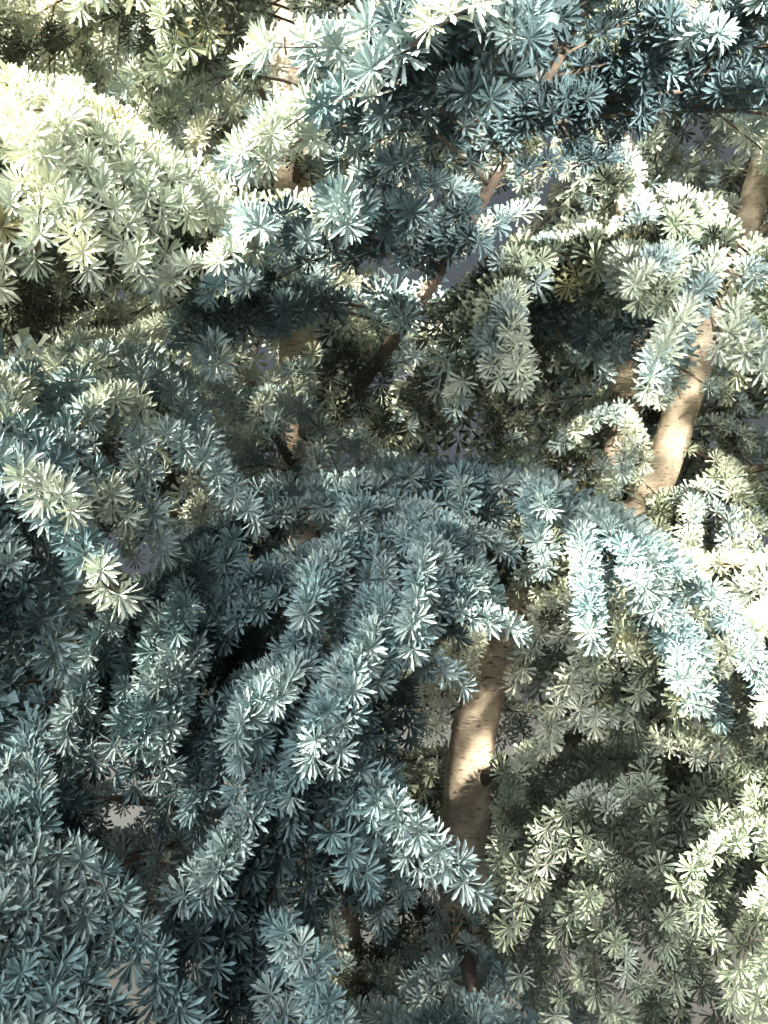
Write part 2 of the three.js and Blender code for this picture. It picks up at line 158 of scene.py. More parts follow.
SHORT_BOUGHS = [
    ("low_back", "right_leader", 0.86, 104, "low", dict(bare=0.26, girth=0.017)),
    ("mid_front_right", "right_leader", 1.38, 311, "mid",
     dict(length=1.2, rise=46, droop=-60, bare=0.26, twigs=10, taper=(0.8, 1.1))),
    ("mid_over_left", "left_leader", 1.76, 248, "mid",
     dict(length=1.15, rise=42, droop=-62, bare=0.14, twigs=7)),
    ("mid_left", "left_leader", 1.56, 214, "mid", {}),
    ("mid_back_left", "left_leader", 1.38, 168, "mid", {}),
    ("mid_back", "left_leader", 1.24, 122, "mid", {}),
    ("mid_back_right", "right_leader", 1.38, 78, "mid", {}),
    ("mid_right", "outer_fork", 1.69, 350, "mid", dict(length=1.12)),
    ("mid_right_back", "right_leader", 1.3, 36, "mid", {}),
    ("high_front_left", "left_leader", 2.08, 247, "high", dict(length=1.1, bare=0.14, twigs=9)),
    ("high_left", "left_leader", 2.2, 196, "high", {}),
    ("high_back_left", "left_leader", 1.94, 146, "high", {}),
    ("high_back", "inner_fork", 2.18, 108, "high", {}),
    ("high_back_right", "outer_fork", 1.96, 60, "high", {}),
    ("high_right", "outer_fork", 2.18, 18, "high", dict(length=1.0)),
    ("high_front_right", "outer_fork", 2.3, 312, "high", dict(length=0.96)),
    ("high_inner", "inner_fork", 2.05, 250, "high", dict(length=0.86, width=0.38, twigs=8)),
    ("upper_front", "left_leader", 2.45, 284, "upper", dict(length=0.98, width=0.46, twigs=7)),
    ("upper_front_left", "left_leader", 2.62, 232, "upper", dict(twigs=7)),
    ("upper_left", "left_leader", 2.78, 180, "upper", {}),
    ("upper_back", "left_leader", 2.5, 130, "upper", {}),
    ("upper_inner", "inner_fork", 2.62, 264, "upper", dict(length=0.76)),
    ("upper_back_right", "inner_fork", 2.56, 82, "upper", {}),
    ("upper_right", "outer_fork", 2.6, 40, "upper", dict(length=0.78)),
    ("upper_front_right", "outer_fork", 2.74, 338, "upper", dict(length=0.72)),
    ("top_front", "left_leader", 2.96, 262, "top", dict(length=0.78, width=0.42)),
    ("top_back", "left_leader", 2.98, 96, "top", dict(length=0.74, width=0.42)),
    ("top_right", "left_leader", 3.08, 350, "top", dict(length=0.64)),
    ("top_left", "left_leader", 3.24, 214, "top", dict(length=0.64)),
    ("top_back_left", "left_leader", 3.36, 140, "top", dict(length=0.56)),
    ("inner_top", "inner_fork", 2.96, 320, "top", dict(length=0.56)),
    ("peak_right", "left_leader", 3.54, 30, "top", dict(length=0.52)),
]
TIPS = [
    ("left_tip", "left_leader", "tip", 200, dict(length=0.48)),
    ("inner_tip", "inner_fork", "tip", 60, {}),
    ("outer_tip", "outer_fork", "tip", 330, {}),
]
print("boughs:", len(BOUGHS), "and", len(SHORT_BOUGHS), "short ones,", len(TIPS), "tips")

# %% [markdown]
# ## The rule that the tree grows by
# A modelled tree could be placed limb by limb, but it never ends that way. Here a line bends by one rule:
# its slope goes from a rise at its foot to a droop at its tip, and its heading turns a little as it runs.
# Chance comes from a sine of two numbers, so the same twig always draws the same luck, in any order.

# %% Lines of the limbs
SEED = 3
LUCK_WAVES = (12.9898, 78.233)
LUCK_HEIGHT = 43758.5453
LINE_STEPS = 16
HALVINGS = 40
TIP_START = 0.99
ARCH_SIZES = ("length", "rise", "droop", "turn", "late")
UNSHAPED = dict(turn=0, taper=(1, 1), wing=1)


def lerp(start, end, share):
    return start + (end - start) * share


def unit(vectors):
    return vectors / np.linalg.norm(vectors, axis=-1, keepdims=True)


def chance(i, j):
    wave = math.sin(i * LUCK_WAVES[0] + j * LUCK_WAVES[1] + SEED) * LUCK_HEIGHT
    return wave - math.floor(wave)


def leader_at(name, share):
    """Place and radius at a share of a leader's curve, which runs smoothly through its points."""
    rows = np.array(LEADERS[name])
    points = rows[:, :3]
    place = min(max(share, 0), 1) * (len(points) - 1)
    first = min(int(place), len(points) - 2)
    start = points[first]
    end = points[first + 1]
    before = points[first - 1] if first > 0 else 2 * start - end
    after = points[first + 2] if first + 2 < len(points) else 2 * end - start
    leave = (end - before) / 2
    arrive = (after - start) / 2
    part = place - first
    bend = 3 * (end - start) - 2 * leave - arrive
    twist = 2 * (start - end) + leave + arrive
    point = start + leave * part + bend * part**2 + twist * part**3
    return point, lerp(rows[first, 3], rows[first + 1, 3], part)


def leader_length(name):
    return np.linalg.norm(np.diff(np.array(LEADERS[name])[:, :3], axis=0), axis=1).sum()


def point_at_height(name, height):
    low, high = 0.0, 1.0
    for _ in range(HALVINGS):
        middle = (low + high) / 2
        if leader_at(name, middle)[0][2] < height:
            low = middle
        else:
            high = middle
    return leader_at(name, low)[0]


def arching_line(foot, heading, length, rise, droop, turn=0.0, late=1.0, steps=LINE_STEPS):
    share = (np.arange(steps) + 0.5) / steps
    slope = np.radians(rise + (droop - rise) * share**late)
    way = np.radians(heading + turn * share)
    moves = np.stack([np.cos(slope) * np.cos(way), np.cos(slope) * np.sin(way), np.sin(slope)], axis=1)
    return np.vstack([foot, foot + np.cumsum(moves * length / steps, axis=0)])


def point_on(line, share):
    place = np.clip(share, 0, 1) * (len(line) - 1)
    first = np.minimum(place.astype(int) if np.ndim(place) else int(place), len(line) - 2)
    part = np.expand_dims(place - first, -1)
    return line[first] * (1 - part) + line[first + 1] * part


def stem_of(name, tier, heading, foot, own, around):
    """All sizes of a stem: the usual ones, its tier's, and its own. Twigs may stand all around it."""
    sizes = TIERS[tier] | own
    arch = {key: sizes[key] for key in ARCH_SIZES if key in sizes}
    line = arching_line(foot, heading, **arch)
    return UNSHAPED | dict(name=name, tier=tier, heading=heading, line=line, around=around) | sizes


def bough_of(name, carrier, height, heading, tier, own):
    return stem_of(name, tier, heading, point_at_height(carrier, height), own, around=False)


def tip_of(name, carrier, tier, heading, own):
    return stem_of(name, tier, heading, leader_at(carrier, TIP_START)[0], own, around=True)


long_boughs = [bough_of(*row) for row in BOUGHS]
short_boughs = [bough_of(*row) for row in SHORT_BOUGHS]
stems = long_boughs + short_boughs + [tip_of(*row) for row in TIPS]
highest = max(s["line"][:, 2].max() for s in stems)
print("stems:", len(stems), "highest point of a stem", round(highest, 3), "m")

# %% [markdown]
# ## Meshes from arrays
# A tree has far too many small parts to add one object at a time, and the export drops particles and
# instances. So every kind of part is one set of numpy arrays: all its corners, and faces that index them. A
# helper turns such arrays into a Blender mesh, and another sweeps many thin tubes at once.

# %% Helpers that make meshes
def mesh_object(name, corners, faces, material, smooth=False):
    mesh = bpy.data.meshes.new(name)
    mesh.from_pydata(np.asarray(corners).tolist(), [], [list(map(int, face)) for face in faces])
    mesh.polygons.foreach_set("use_smooth", np.full(len(mesh.polygons), smooth))
    mesh.update()
    made = bpy.data.objects.new(name, mesh)
    bpy.context.scene.collection.objects.link(made)
    made.data.materials.append(material)
    return made


def frames_along(lines, side):
    """Tangent, side and up at every point of each line, as arrays shaped like the lines."""
    ahead = np.concatenate([lines[:, 1:], lines[:, -1:]], axis=1)
    behind = np.concatenate([lines[:, :1], lines[:, :-1]], axis=1)
    tangent = unit(ahead - behind)
    across = side[:, None, :] - tangent * (tangent * side[:, None, :]).sum(-1, keepdims=True)
    across = unit(across)
    return tangent, across, np.cross(tangent, across)


def tubes(lines, radii, sides, side):
    """Closed tubes along lines of the same number of points: all corners, and triangles that index them."""
    _, across, up = frames_along(lines, side)
    angle = np.arange(sides) * 2 * math.pi / sides
    ring = across[:, :, None, :] * np.cos(angle)[:, None] + up[:, :, None, :] * np.sin(angle)[:, None]
    corners = lines[:, :, None, :] + ring * radii[:, :, None, None]
    count, points = lines.shape[:2]
    faces = []
    for step in range(points - 1):
        for k in range(sides):
            here, next_k = step * sides + k, step * sides + (k + 1) % sides
            faces += [(here, next_k, next_k + sides), (here, next_k + sides, here + sides)]
    last = (points - 1) * sides
    for k in range(1, sides - 1):
        faces += [(0, k + 1, k), (last, last + k, last + k + 1)]
    start = np.arange(count)[:, None, None] * points * sides
    return corners.reshape(-1, 3), (np.array(faces)[None] + start).reshape(-1, 3)


def joined(parts):
    """Several (corners, faces) as one."""
    starts = np.cumsum([0] + [len(corners) for corners, _ in parts[:-1]])
    return np.concatenate([p[0] for p in parts]), np.concatenate([p[1] + s for p, s in zip(parts, starts)])


# %% [markdown]
# ## Foliage, first step: side twigs
# A mass could be filled at random, but real foliage keeps an order that the eye knows: twigs leave a stem
# by turns to the left and right, longest in the middle, and hang at their ends. The tests for free space
# are the same as in the solids: a twig is left out where it would run into a limb, the ground, or another
# mass. Then three finer sets of twigs fill in between the first, under the same test with a smaller reach.

# %% Grow the side twigs
TWIG_STEPS = 8
TWIG_RISE = 5
TWIG_TURN = 23
SPREAD_AT_FOOT, SPREAD_AT_TIP = 78, 40
SWELLS_FROM, SWELLS_TO = 0.1, 0.9
SHORTEST = 0.62
PAST_WING = 0.42
EVENNESS = 0.8
TURN_AROUND = 137.5
GIRTH_AT_MASS, GIRTH_AT_TIP = 0.45, 0.2
SPRAY_REACH, FINE_REACH = 0.078, 0.035
TWIG_SETS = [(0, SPRAY_REACH), (0.5, FINE_REACH), (0.25, FINE_REACH), (0.75, FINE_REACH)]
LIMB_CLEARANCE = 0.018
GROUND_CLEARANCE = 0.06
FREE_FROM = 0.25
TESTS_ON_STEM, TESTS_ON_TWIG = 11, 7
SPINE_STEPS = 40


def bough_radius(stem, share):
    bare = stem["bare"]
    toward_mass = lerp(1, GIRTH_AT_MASS, np.minimum(share / bare, 1))
    past_it = lerp(GIRTH_AT_MASS, GIRTH_AT_TIP, np.clip((share - bare) / (1 - bare), 0, 1))
    return stem["girth"] * np.where(share < bare, toward_mass, past_it)


def twig_of(stem, place, turn):
    """The side twig at a place counted along the stem. Whole places are the twigs of the solids."""
    share = (place + 0.5) / stem["twigs"]
    along = lerp(stem["bare"], 1, share)
    sideways = turn * lerp(SPREAD_AT_FOOT, SPREAD_AT_TIP, share)
    heading = stem["heading"] + stem["turn"] * along + (place * TURN_AROUND if stem["around"] else sideways)
    swelling = math.sin(math.pi * lerp(SWELLS_FROM, SWELLS_TO, share))
    luck = lerp(EVENNESS, 2 - EVENNESS, chance(place, stem["heading"]))
    first, last = stem["taper"]
    width = stem["width"] * first * (last / first) ** share
    if turn > 0 and share > stem["wing"]:
        width *= PAST_WING
    length = width * lerp(SHORTEST, 1, swelling) * luck
    foot = point_on(stem["line"], along)
    bend = -turn * TWIG_TURN
    line = arching_line(foot, heading, length, TWIG_RISE, stem["twig_droop"], bend, steps=TWIG_STEPS)
    return dict(line=line, length=length, heading=heading)


grown_points = np.concatenate([point_on(s["line"], np.linspace(s["bare"], 1, TESTS_ON_STEM)) for s in stems])
grown_owners = np.repeat(np.arange(len(stems)), TESTS_ON_STEM)
spine = [((0, 0, row[0]), row[1]) for row in TRUNK]
for leader in LEADERS:
    spine += [leader_at(leader, share) for share in np.linspace(0, 1, SPINE_STEPS + 1)]
for bough in long_boughs:
    bare_part = np.linspace(0, bough["bare"], SPINE_STEPS + 1)
    spine += zip(point_on(bough["line"], bare_part), bough_radius(bough, bare_part))
spine_points, spine_radii = (np.array(column, float) for column in zip(*spine))


def is_free(points, owner, reach):
    if points[:, 2].min() < GROUND_CLEARANCE:
        return False
    others = grown_points[grown_owners != owner]
    crowded = np.linalg.norm(points[:, None] - others[None], axis=-1).min() < 2 * reach
    room = np.linalg.norm(points[:, None] - spine_points[None], axis=-1) - spine_radii
    return not crowded and room.min() > reach + LIMB_CLEARANCE


side_twigs = []
for between_twigs, reach in TWIG_SETS:
    for owner, stem in enumerate(stems):
        for i in range(stem["twigs"] - (between_twigs > 0)):
            turn = 1 if (i % 2 == 1) != (between_twigs >= 0.5) else -1
            twig = twig_of(stem, i + between_twigs, turn)
            reached = point_on(twig["line"], np.linspace(FREE_FROM, 1, TESTS_ON_TWIG))
            if is_free(reached, owner, reach):
                side_twigs.append(twig | dict(owner=owner))
                grown_points = np.concatenate([grown_points, reached])
                grown_owners = np.concatenate([grown_owners, np.full(TESTS_ON_TWIG, owner)])
print("side twigs:", len(side_twigs))

# %% [markdown]
# Near the leaders the boughs are bare, yet the inside of a young crown isn't empty: short shoots stand on
# the leaders themselves, all round and at every height, except where the front of a leader shows as bare
# bark.

# %% Grow the shoots on the leaders
SHOOT_PITCH = 0.045
SHOOT_LENGTHS = (0.2, 0.42)
SHOOT_RISE, SHOOT_DROOP = 25, -60
FIRST_SHOOT = 40
LOWEST_SHOOT = 0.62
FRONT = 270
BARE_FRONTS = {"right_leader": (1.0, 1.42), "outer_fork": (1.75, 2.4)}
BARE_ARC = 75


def shoots_on(leader):
    reach = leader_length(leader)
    count = int(reach / SHOOT_PITCH)
    low, high = BARE_FRONTS.get(leader, (0, 0))
    found = []
    for k in range(count):
        foot = leader_at(leader, (k + 0.5) / count)[0]
        heading = (k * TURN_AROUND + FIRST_SHOOT) % 360
        shows_bare = low < foot[2] < high and abs(heading - FRONT) < BARE_ARC
        if foot[2] < LOWEST_SHOOT or shows_bare:
            continue
        length = lerp(*SHOOT_LENGTHS, chance(k, reach))
        line = arching_line(foot, heading, length, SHOOT_RISE, SHOOT_DROOP, TWIG_TURN, steps=TWIG_STEPS)
        nearest = np.argmin([np.linalg.norm(s["line"][0] - foot) for s in stems])
        found.append(dict(line=line, length=length, heading=heading, owner=int(nearest)))
    return found


leader_shoots = [shoot for leader in LEADERS for shoot in shoots_on(leader)]
side_twigs += leader_shoots
print("shoots on the leaders:", len(leader_shoots))

# %% [markdown]
# ## Foliage, second step: branchlets
# Each side twig carries branchlets, by turns left and right with every fifth on top, and they are longest
# in its middle. They could lie flat in one plane, but then the crown would look thin from the side. On a
# cedar they start out sideways and bend down under their own weight, some stiffly and some like a curtain,
# which fills the space under each twig. The stems carry some too, and so do their bare feet, where they
# stay small.

# %% Grow the branchlets
BRANCHLET_PITCH = 0.048
BRANCHLET_STEPS = 4
LONGEST_BRANCHLET, SHORTEST_BRANCHLET = 0.2, 0.03
BRANCHLET_LUCK = (0.6, 1.15)
THINNEST_END = 0.25
SPLAY_AT_FOOT, SPLAY_AT_TIP, SPLAY_LUCK = 66, 40, 9
LIFT_LUCK = (-0.12, 0.38)
TOP_EVERY = 5
TOP_SPLAY, TOP_LIFT, TOP_SIZE = 35, 0.8, 0.35
STIFFEST, LIMPEST = 0.5, 2.6
SAG_START = 0.3
draw = np.random.default_rng(SEED)


def fullness_at(share):
    return lerp(THINNEST_END, 1, np.sin(math.pi * lerp(0.12, 0.9, share)))


def side_of(heading):
    return np.array([-math.sin(math.radians(heading)), math.cos(math.radians(heading)), 0.0])


def branchlets_on(line, length, heading, first, size, hang):
    """Lines and lengths of the branchlets on one twig, from a share of it to its tip."""
    count = max(2, round(length * (1 - first) / BRANCHLET_PITCH))
    order = np.arange(count)
    part = (order + draw.uniform(0.2, 0.8, count)) / count
    share = lerp(first, 1, part)
    axes = frames_along(line[None], side_of(heading)[None])
    ahead, aside, up = (unit(point_on(axis[0], share)) for axis in axes)
    on_top = order % TOP_EVERY == TOP_EVERY // 2
    hand = np.where(on_top, 0, np.where(order % 2 == 0, 1, -1))
    splay = np.radians(lerp(SPLAY_AT_FOOT, SPLAY_AT_TIP, part) + draw.uniform(-SPLAY_LUCK, SPLAY_LUCK, count))
    splay = np.where(on_top, math.radians(TOP_SPLAY), splay)
    lift = np.where(on_top, TOP_LIFT, draw.uniform(*LIFT_LUCK, count))
    start = ahead * np.cos(splay)[:, None] + aside * (hand * np.sin(splay))[:, None] + up * lift[:, None]
    long = LONGEST_BRANCHLET * fullness_at(part) * size * draw.uniform(*BRANCHLET_LUCK, count)
    long = np.maximum(np.where(on_top, TOP_SIZE * long, long), SHORTEST_BRANCHLET)
    limpness = draw.uniform(STIFFEST, LIMPEST, count) * hang
    points = [point_on(line, share)]
    for step in range(BRANCHLET_STEPS):
        sag = limpness * (step + SAG_START) / BRANCHLET_STEPS
        way = unit(unit(start) - sag[:, None] * np.array([0, 0, 1.0]))
        points.append(points[-1] + way * (long / BRANCHLET_STEPS)[:, None])
    return np.stack(points, axis=1), long


HANG = {"reaching": 0.3, "low_front": 0.6}
TWIG_LEAFY, STEM_LEAFY = 0.06, 0.04
STEM_SIZE = 0.85
INNER_FROM = 0.3
INNER_SIZE = {"reaching": 1.15}
USUAL_INNER_SIZE = 0.75
grown = []


def grow_branchlets(owner, line, length, heading, first, size):
    hang = HANG.get(stems[owner]["name"], 1.0)
    lines, lengths = branchlets_on(line, length, heading, first, size, hang)
    grown.append((lines, lengths, np.full(len(lines), owner)))


for twig in side_twigs:
    grow_branchlets(twig["owner"], twig["line"], twig["length"], twig["heading"], TWIG_LEAFY, 1.0)
for owner, stem in enumerate(stems):
    leafy = lerp(stem["bare"], 1, STEM_LEAFY)
    grow_branchlets(owner, stem["line"], stem["length"], stem["heading"], leafy, STEM_SIZE)
for owner, stem in enumerate(stems):
    bare_line = point_on(stem["line"], np.linspace(INNER_FROM * stem["bare"], stem["bare"], LINE_STEPS + 1))
    bare_length = stem["length"] * stem["bare"] * (1 - INNER_FROM)
    size = INNER_SIZE.get(stem["name"], USUAL_INNER_SIZE)
    grow_branchlets(owner, bare_line, bare_length, stem["heading"], 0, size)
branch_lines, branch_lengths, branch_owners = (np.concatenate(column) for column in zip(*grown))
print("branchlets grown:", len(branch_lines))

# %% [markdown]
# ## Keep the limbs in sight
# Three lengths of bare limb show between the foliage, and they are what makes the tree's frame readable.
# The branchlets in front of them could be picked off by hand, but every change to the rule would call for
# it again. So each one is tested: seen from the viewpoint, it may not cross the middle of such a limb. What
# would leave the frame's box or touch the ground goes the same way.

# %% Leave out what stands in front
CLEARINGS = [("outer_fork", 1.76, 2.42), ("right_leader", 0.96, 1.41), ("left_leader", 2.68, 2.98)]
CLEARING_STEPS = 120
CLEAR_SHARE = 0.85
NEAREST_SIGHT = 0.1
TUFT_RADIUS = 0.022
OVERHANG = 0.05


def seen_from_viewpoint(points):
    """Distance of each point ahead of the viewpoint, and how far right and up it lies for each metre."""
    gaze = np.array([0, math.cos(VIEW_TILT), math.sin(VIEW_TILT)])
    above = np.array([0, -math.sin(VIEW_TILT), math.cos(VIEW_TILT)])
    sight = points - VIEWPOINT
    ahead = sight @ gaze
    clear = np.maximum(ahead, NEAREST_SIGHT)
    return ahead, sight[..., 0] / clear, sight @ above / clear


def clearing_points():
    """Points down the middle of each limb that shows, each with the radius to be kept clear."""
    found = []
    for name, lowest, highest in CLEARINGS:
        for share in np.linspace(0, 1, CLEARING_STEPS):
            point, radius = leader_at(name, share)
            if lowest < point[2] < highest:
                found.append((*point, CLEAR_SHARE * radius))
    return np.array(found)


CLEAR = clearing_points()


def stands_before_limb(points):
    """True for points that would hide a limb that the photograph shows."""
    ahead, right, up = seen_from_viewpoint(points)
    limb_ahead, limb_right, limb_up = seen_from_viewpoint(CLEAR[:, :3])
    off = np.hypot(right[..., None] - limb_right, up[..., None] - limb_up)
    return np.any((off < CLEAR[:, 3] / limb_ahead) & (ahead[..., None] < limb_ahead), axis=-1)


low_corner, high_corner = np.array(CAD_BOX[0]) - OVERHANG, np.array(CAD_BOX[1]) + OVERHANG
kept = np.all((branch_lines > low_corner) & (branch_lines < high_corner), axis=(1, 2))
kept &= branch_lines[:, :, 2].min(axis=1) > 2 * TUFT_RADIUS
kept &= ~np.any(stands_before_limb(branch_lines[:, 1:]), axis=1)
branch_lines, branch_lengths, branch_owners = branch_lines[kept], branch_lengths[kept], branch_owners[kept]
print("branchlets:", len(branch_lines), "mean length", round(float(branch_lengths.mean()) * 1000), "mm")

# %% [markdown]
# ## Foliage, third step: where the tufts of needles sit
# A cedar bears its needles in tufts, one on each short spur, and the spurs stand along the upper side and
# flanks of a branchlet about a thumb's width apart. The last tuft closes the tip and looks along it. Close
# to the viewer each tuft has many fine needles. Farther off, and behind several layers of other foliage, it
# has fewer and broader ones, so that the whole crown stays within a mesh that a computer can carry.

# %% Place the tufts
FINENESS = [
    dict(name="near", until=1.1, pitch=0.0115, needles=24, folded=True, width=0.0039, length=0.0215),
    dict(name="middle", until=1.8, pitch=0.0138, needles=21, folded=False, width=0.0044, length=0.0235),
    dict(name="back", until=2.6, pitch=0.0175, needles=12, folded=False, width=0.0070, length=0.0275),
    dict(name="unseen", until=99, pitch=0.039, needles=6, folded=False, width=0.0170, length=0.044),
]
BACK, UNSEEN = 2, 3
PITCHES = np.array([row["pitch"] for row in FINENESS])
SIGHT_CELL = 0.04
SIGHT_STEP = 0.06
SIGHT_EDGE = (0.62, 0.8)
HIDDEN_BEHIND = (2.7, 5.5)
NEAR_IS_THINNER = 0.35
SPUR_ARC = math.radians(78)
SPUR_ROWS = np.array([-1, 0.1, 1, -0.4, 0.5])
SPUR_LEAN = 0.55
SPUR_OUTWARD = 0.7
TIP_LIFT = 0.2
PLACE_LUCK, TURN_LUCK = 0.25, 0.2
SPUR = 0.006
CROWN_MIDDLE = np.array([0.15, 0, 0])
BRANCHLET_FOOT = 0.012
LEAFY_FROM = 0.03


def sight_cells(points):
    """Distance of each point, whether it is in view, and its cell of the space in view."""
    ahead, right, up = seen_from_viewpoint(points)
    in_view = (ahead > NEAREST_SIGHT) & (np.abs(right) < SIGHT_EDGE[0]) & (np.abs(up) < SIGHT_EDGE[1])
    column = ((right + SIGHT_EDGE[0]) / SIGHT_CELL).astype(int)
    row = ((up + SIGHT_EDGE[1]) / SIGHT_CELL).astype(int)
    return ahead, in_view, (column, row, (ahead / SIGHT_STEP).astype(int))


def layers_in_front(points, lengths):
    """How many layers of branchlets stand between the viewpoint and each cell of the space in view."""
    ahead, in_view, (column, row, step) = sight_cells(points)
    cells = [math.ceil(2 * edge / SIGHT_CELL) for edge in SIGHT_EDGE] + [step.max() + 2]
    layers = np.zeros(cells)
    share = lengths * 2 * TUFT_RADIUS / (SIGHT_CELL * np.maximum(ahead, NEAREST_SIGHT)) ** 2
    np.add.at(layers, (column[in_view], row[in_view], step[in_view] + 1), share[in_view])
    return np.cumsum(layers, axis=2)


LAYERS = layers_in_front(branch_lines[:, BRANCHLET_STEPS // 2], branch_lengths)


def fineness_of(points):
    """Row of FINENESS for each point, by its distance. What is hidden counts as farther, row by row."""
    ahead, in_view, cell = sight_cells(points)
    cell = tuple(np.clip(place, 0, size - 1) for place, size in zip(cell, LAYERS.shape))
    level = np.searchsorted([row["until"] for row in FINENESS[:-1]], ahead)
    cover = LAYERS[cell] * np.where(level == 0, NEAR_IS_THINNER, 1)
    coarsest = np.where(level < BACK, BACK, UNSEEN)
    level = np.minimum(level + sum(cover > layers for layers in HIDDEN_BEHIND), coarsest)
    return np.where(in_view, level, UNSEEN)


def outward(points):
    """Level direction of each point away from the crown's middle. The sliver keeps it from being zero."""
    sliver = 1e-6
    return unit(points * np.array([1, 1, 0]) - CROWN_MIDDLE + sliver)


def tufts_on(lines, lengths, first, owners):
    """Place, axis, owner, line and fineness of every tuft along these lines, from a distance along each."""
    levels = fineness_of(lines[:, lines.shape[1] // 2])
    counts = np.maximum(1, np.round((lengths - first) / PITCHES[levels])).astype(int)
    steps = lines.shape[1] - 1
    found = []
    for k in range(counts.max()):
        rows = np.flatnonzero(counts > k)
        at_tip = k == counts[rows] - 1
        wobble = draw.uniform(-PLACE_LUCK, PLACE_LUCK, len(rows)) * ~at_tip
        distance = first[rows] + (lengths[rows] - first[rows]) * (k + 1 + wobble) / counts[rows]
        place = np.clip(distance / lengths[rows], 0, 1) * steps
        segment = np.minimum(place.astype(int), steps - 1)
        start, end = lines[rows, segment], lines[rows, segment + 1]
        tangent = unit(end - start)
        point = start + (end - start) * (place - segment)[:, None]
        up = np.array([0, 0, 1.0]) + SPUR_OUTWARD * outward(point)
        up = unit(up - tangent * (tangent * up).sum(-1, keepdims=True))
        across = np.cross(tangent, up)
        spur_rows = SPUR_ROWS[(k + rows) % len(SPUR_ROWS)]
        turn = SPUR_ARC * (spur_rows + draw.uniform(-TURN_LUCK, TURN_LUCK, len(rows)))
        axis = tangent * SPUR_LEAN + up * np.cos(turn)[:, None] + across * np.sin(turn)[:, None]
        axis = unit(np.where(at_tip[:, None], tangent + TIP_LIFT * up, axis))
        found.append((point + SPUR * axis, axis, owners[rows], rows, levels[rows]))
    found = [np.concatenate(column) for column in zip(*found)]
    kept = ~stands_before_limb(found[0])
    return [column[kept] for column in found]


def column_of(items, key):
    return np.array([item[key] for item in items])


bare_feet = np.full(len(branch_lines), BRANCHLET_FOOT)
branchlet_tufts = tufts_on(branch_lines, branch_lengths, bare_feet, branch_owners)
twig_lines, twig_lengths, twig_owners = (column_of(side_twigs, key) for key in ("line", "length", "owner"))
twig_tufts = tufts_on(twig_lines, twig_lengths, LEAFY_FROM * twig_lengths, twig_owners)
stem_lengths = column_of(stems, "length")
leafy_from = lerp(column_of(stems, "bare"), 1, LEAFY_FROM) * stem_lengths
stem_tufts = tufts_on(column_of(stems, "line"), stem_lengths, leafy_from, np.arange(len(stems)))
for kind, tufts in (("branchlets", branchlet_tufts), ("twigs", twig_tufts), ("stems", stem_tufts)):
    counted = np.bincount(tufts[4], minlength=len(FINENESS))
    print("tufts on", kind, {row["name"]: int(count) for row, count in zip(FINENESS, counted)})

# %% [markdown]
# ## Materials: effects that several share
# Bark and twigs share one effect, a grain of fine cross ridges, and all needles share another, the waxy
# bloom that makes a blue cedar blue. Each is a node group with named inputs, built once and placed in every
# material with its own values. Groups give out only masks, colours and heights, and the shader itself stays
# in the material.

# %% Helpers for node groups
def new_group(name, inputs, outputs):
    """An empty node group. inputs are (name, kind, value), outputs are (name, kind)."""
    tree = bpy.data.node_groups.new(name, "ShaderNodeTree")
    for label, kind, value in inputs:
        socket = tree.interface.new_socket(label, in_out="INPUT", socket_type="NodeSocket" + kind)
        socket.default_value = value
    for label, kind in outputs:
        tree.interface.new_socket(label, in_out="OUTPUT", socket_type="NodeSocket" + kind)
    return tree, tree.nodes.new("NodeGroupInput"), tree.nodes.new("NodeGroupOutput")


def add_node(tree, kind, values=None, **settings):
    """A shader node with some sockets set to values or linked to other nodes' outputs."""
    node = tree.nodes.new("ShaderNode" + kind)
    for key, value in settings.items():
        setattr(node, key, value)
    for label, value in (values or {}).items():
        if isinstance(value, bpy.types.NodeSocket):
            tree.links.new(value, node.inputs[label])
        else:
            node.inputs[label].default_value = value
    return node


def linear(red, green, blue):
    """A colour picked on a screen, 0 to 255, as the linear colour that shaders use."""
    srgb = np.array([red, green, blue]) / 255
    made = np.where(srgb <= 0.04045, srgb / 12.92, ((srgb + 0.055) / 1.055) ** 2.4)
    return (*map(float, made), 1.0)


def mixed(tree, factor, first, second):
    """A mix of two colours. A Mix node has sockets for each kind of value, and 6 and 7 are for colour."""
    return add_node(tree, "Mix", {0: factor, 6: first, 7: second}, data_type="RGBA").outputs[2]


def product(tree, first, second):
    return add_node(tree, "Math", {0: first, 1: second}, operation="MULTIPLY").outputs[0]


def total_of(tree, first, second):
    return add_node(tree, "Math", {0: first, 1: second}, operation="ADD").outputs[0]


def stretched(tree, scale=(1.0, 1.0, 1.0)):
    """Object coordinates stretched by a scale for each axis."""
    place = add_node(tree, "TexCoord")
    mapping = add_node(tree, "Mapping", {"Vector": place.outputs["Object"], "Scale": scale})
    return mapping.outputs["Vector"]


def cloudy(tree, place, scale, detail, roughness=0.5):
    values = {"Vector": place, "Scale": scale, "Detail": detail, "Roughness": roughness}
    return add_node(tree, "TexNoise", values).outputs["Fac"]


def between(tree, value, low, high):
    """A value spread so that low gives 0 and high gives 1."""
    spread = add_node(tree, "MapRange", {"Value": value, "From Min": low, "From Max": high})
    return spread.outputs["Result"]


# %% Bark grain, a group for bark and twigs
RIDGES_ACROSS = (1.0, 1.0, 4.5)
RIDGE_SCALE, PATCH_SCALE, GRIT_SCALE = 55.0, 14.0, 420.0
LENTICEL_EDGES = (0.56, 0.68)
PATCH_EDGES = (0.38, 0.62)
GRIT_SHARE = 0.25


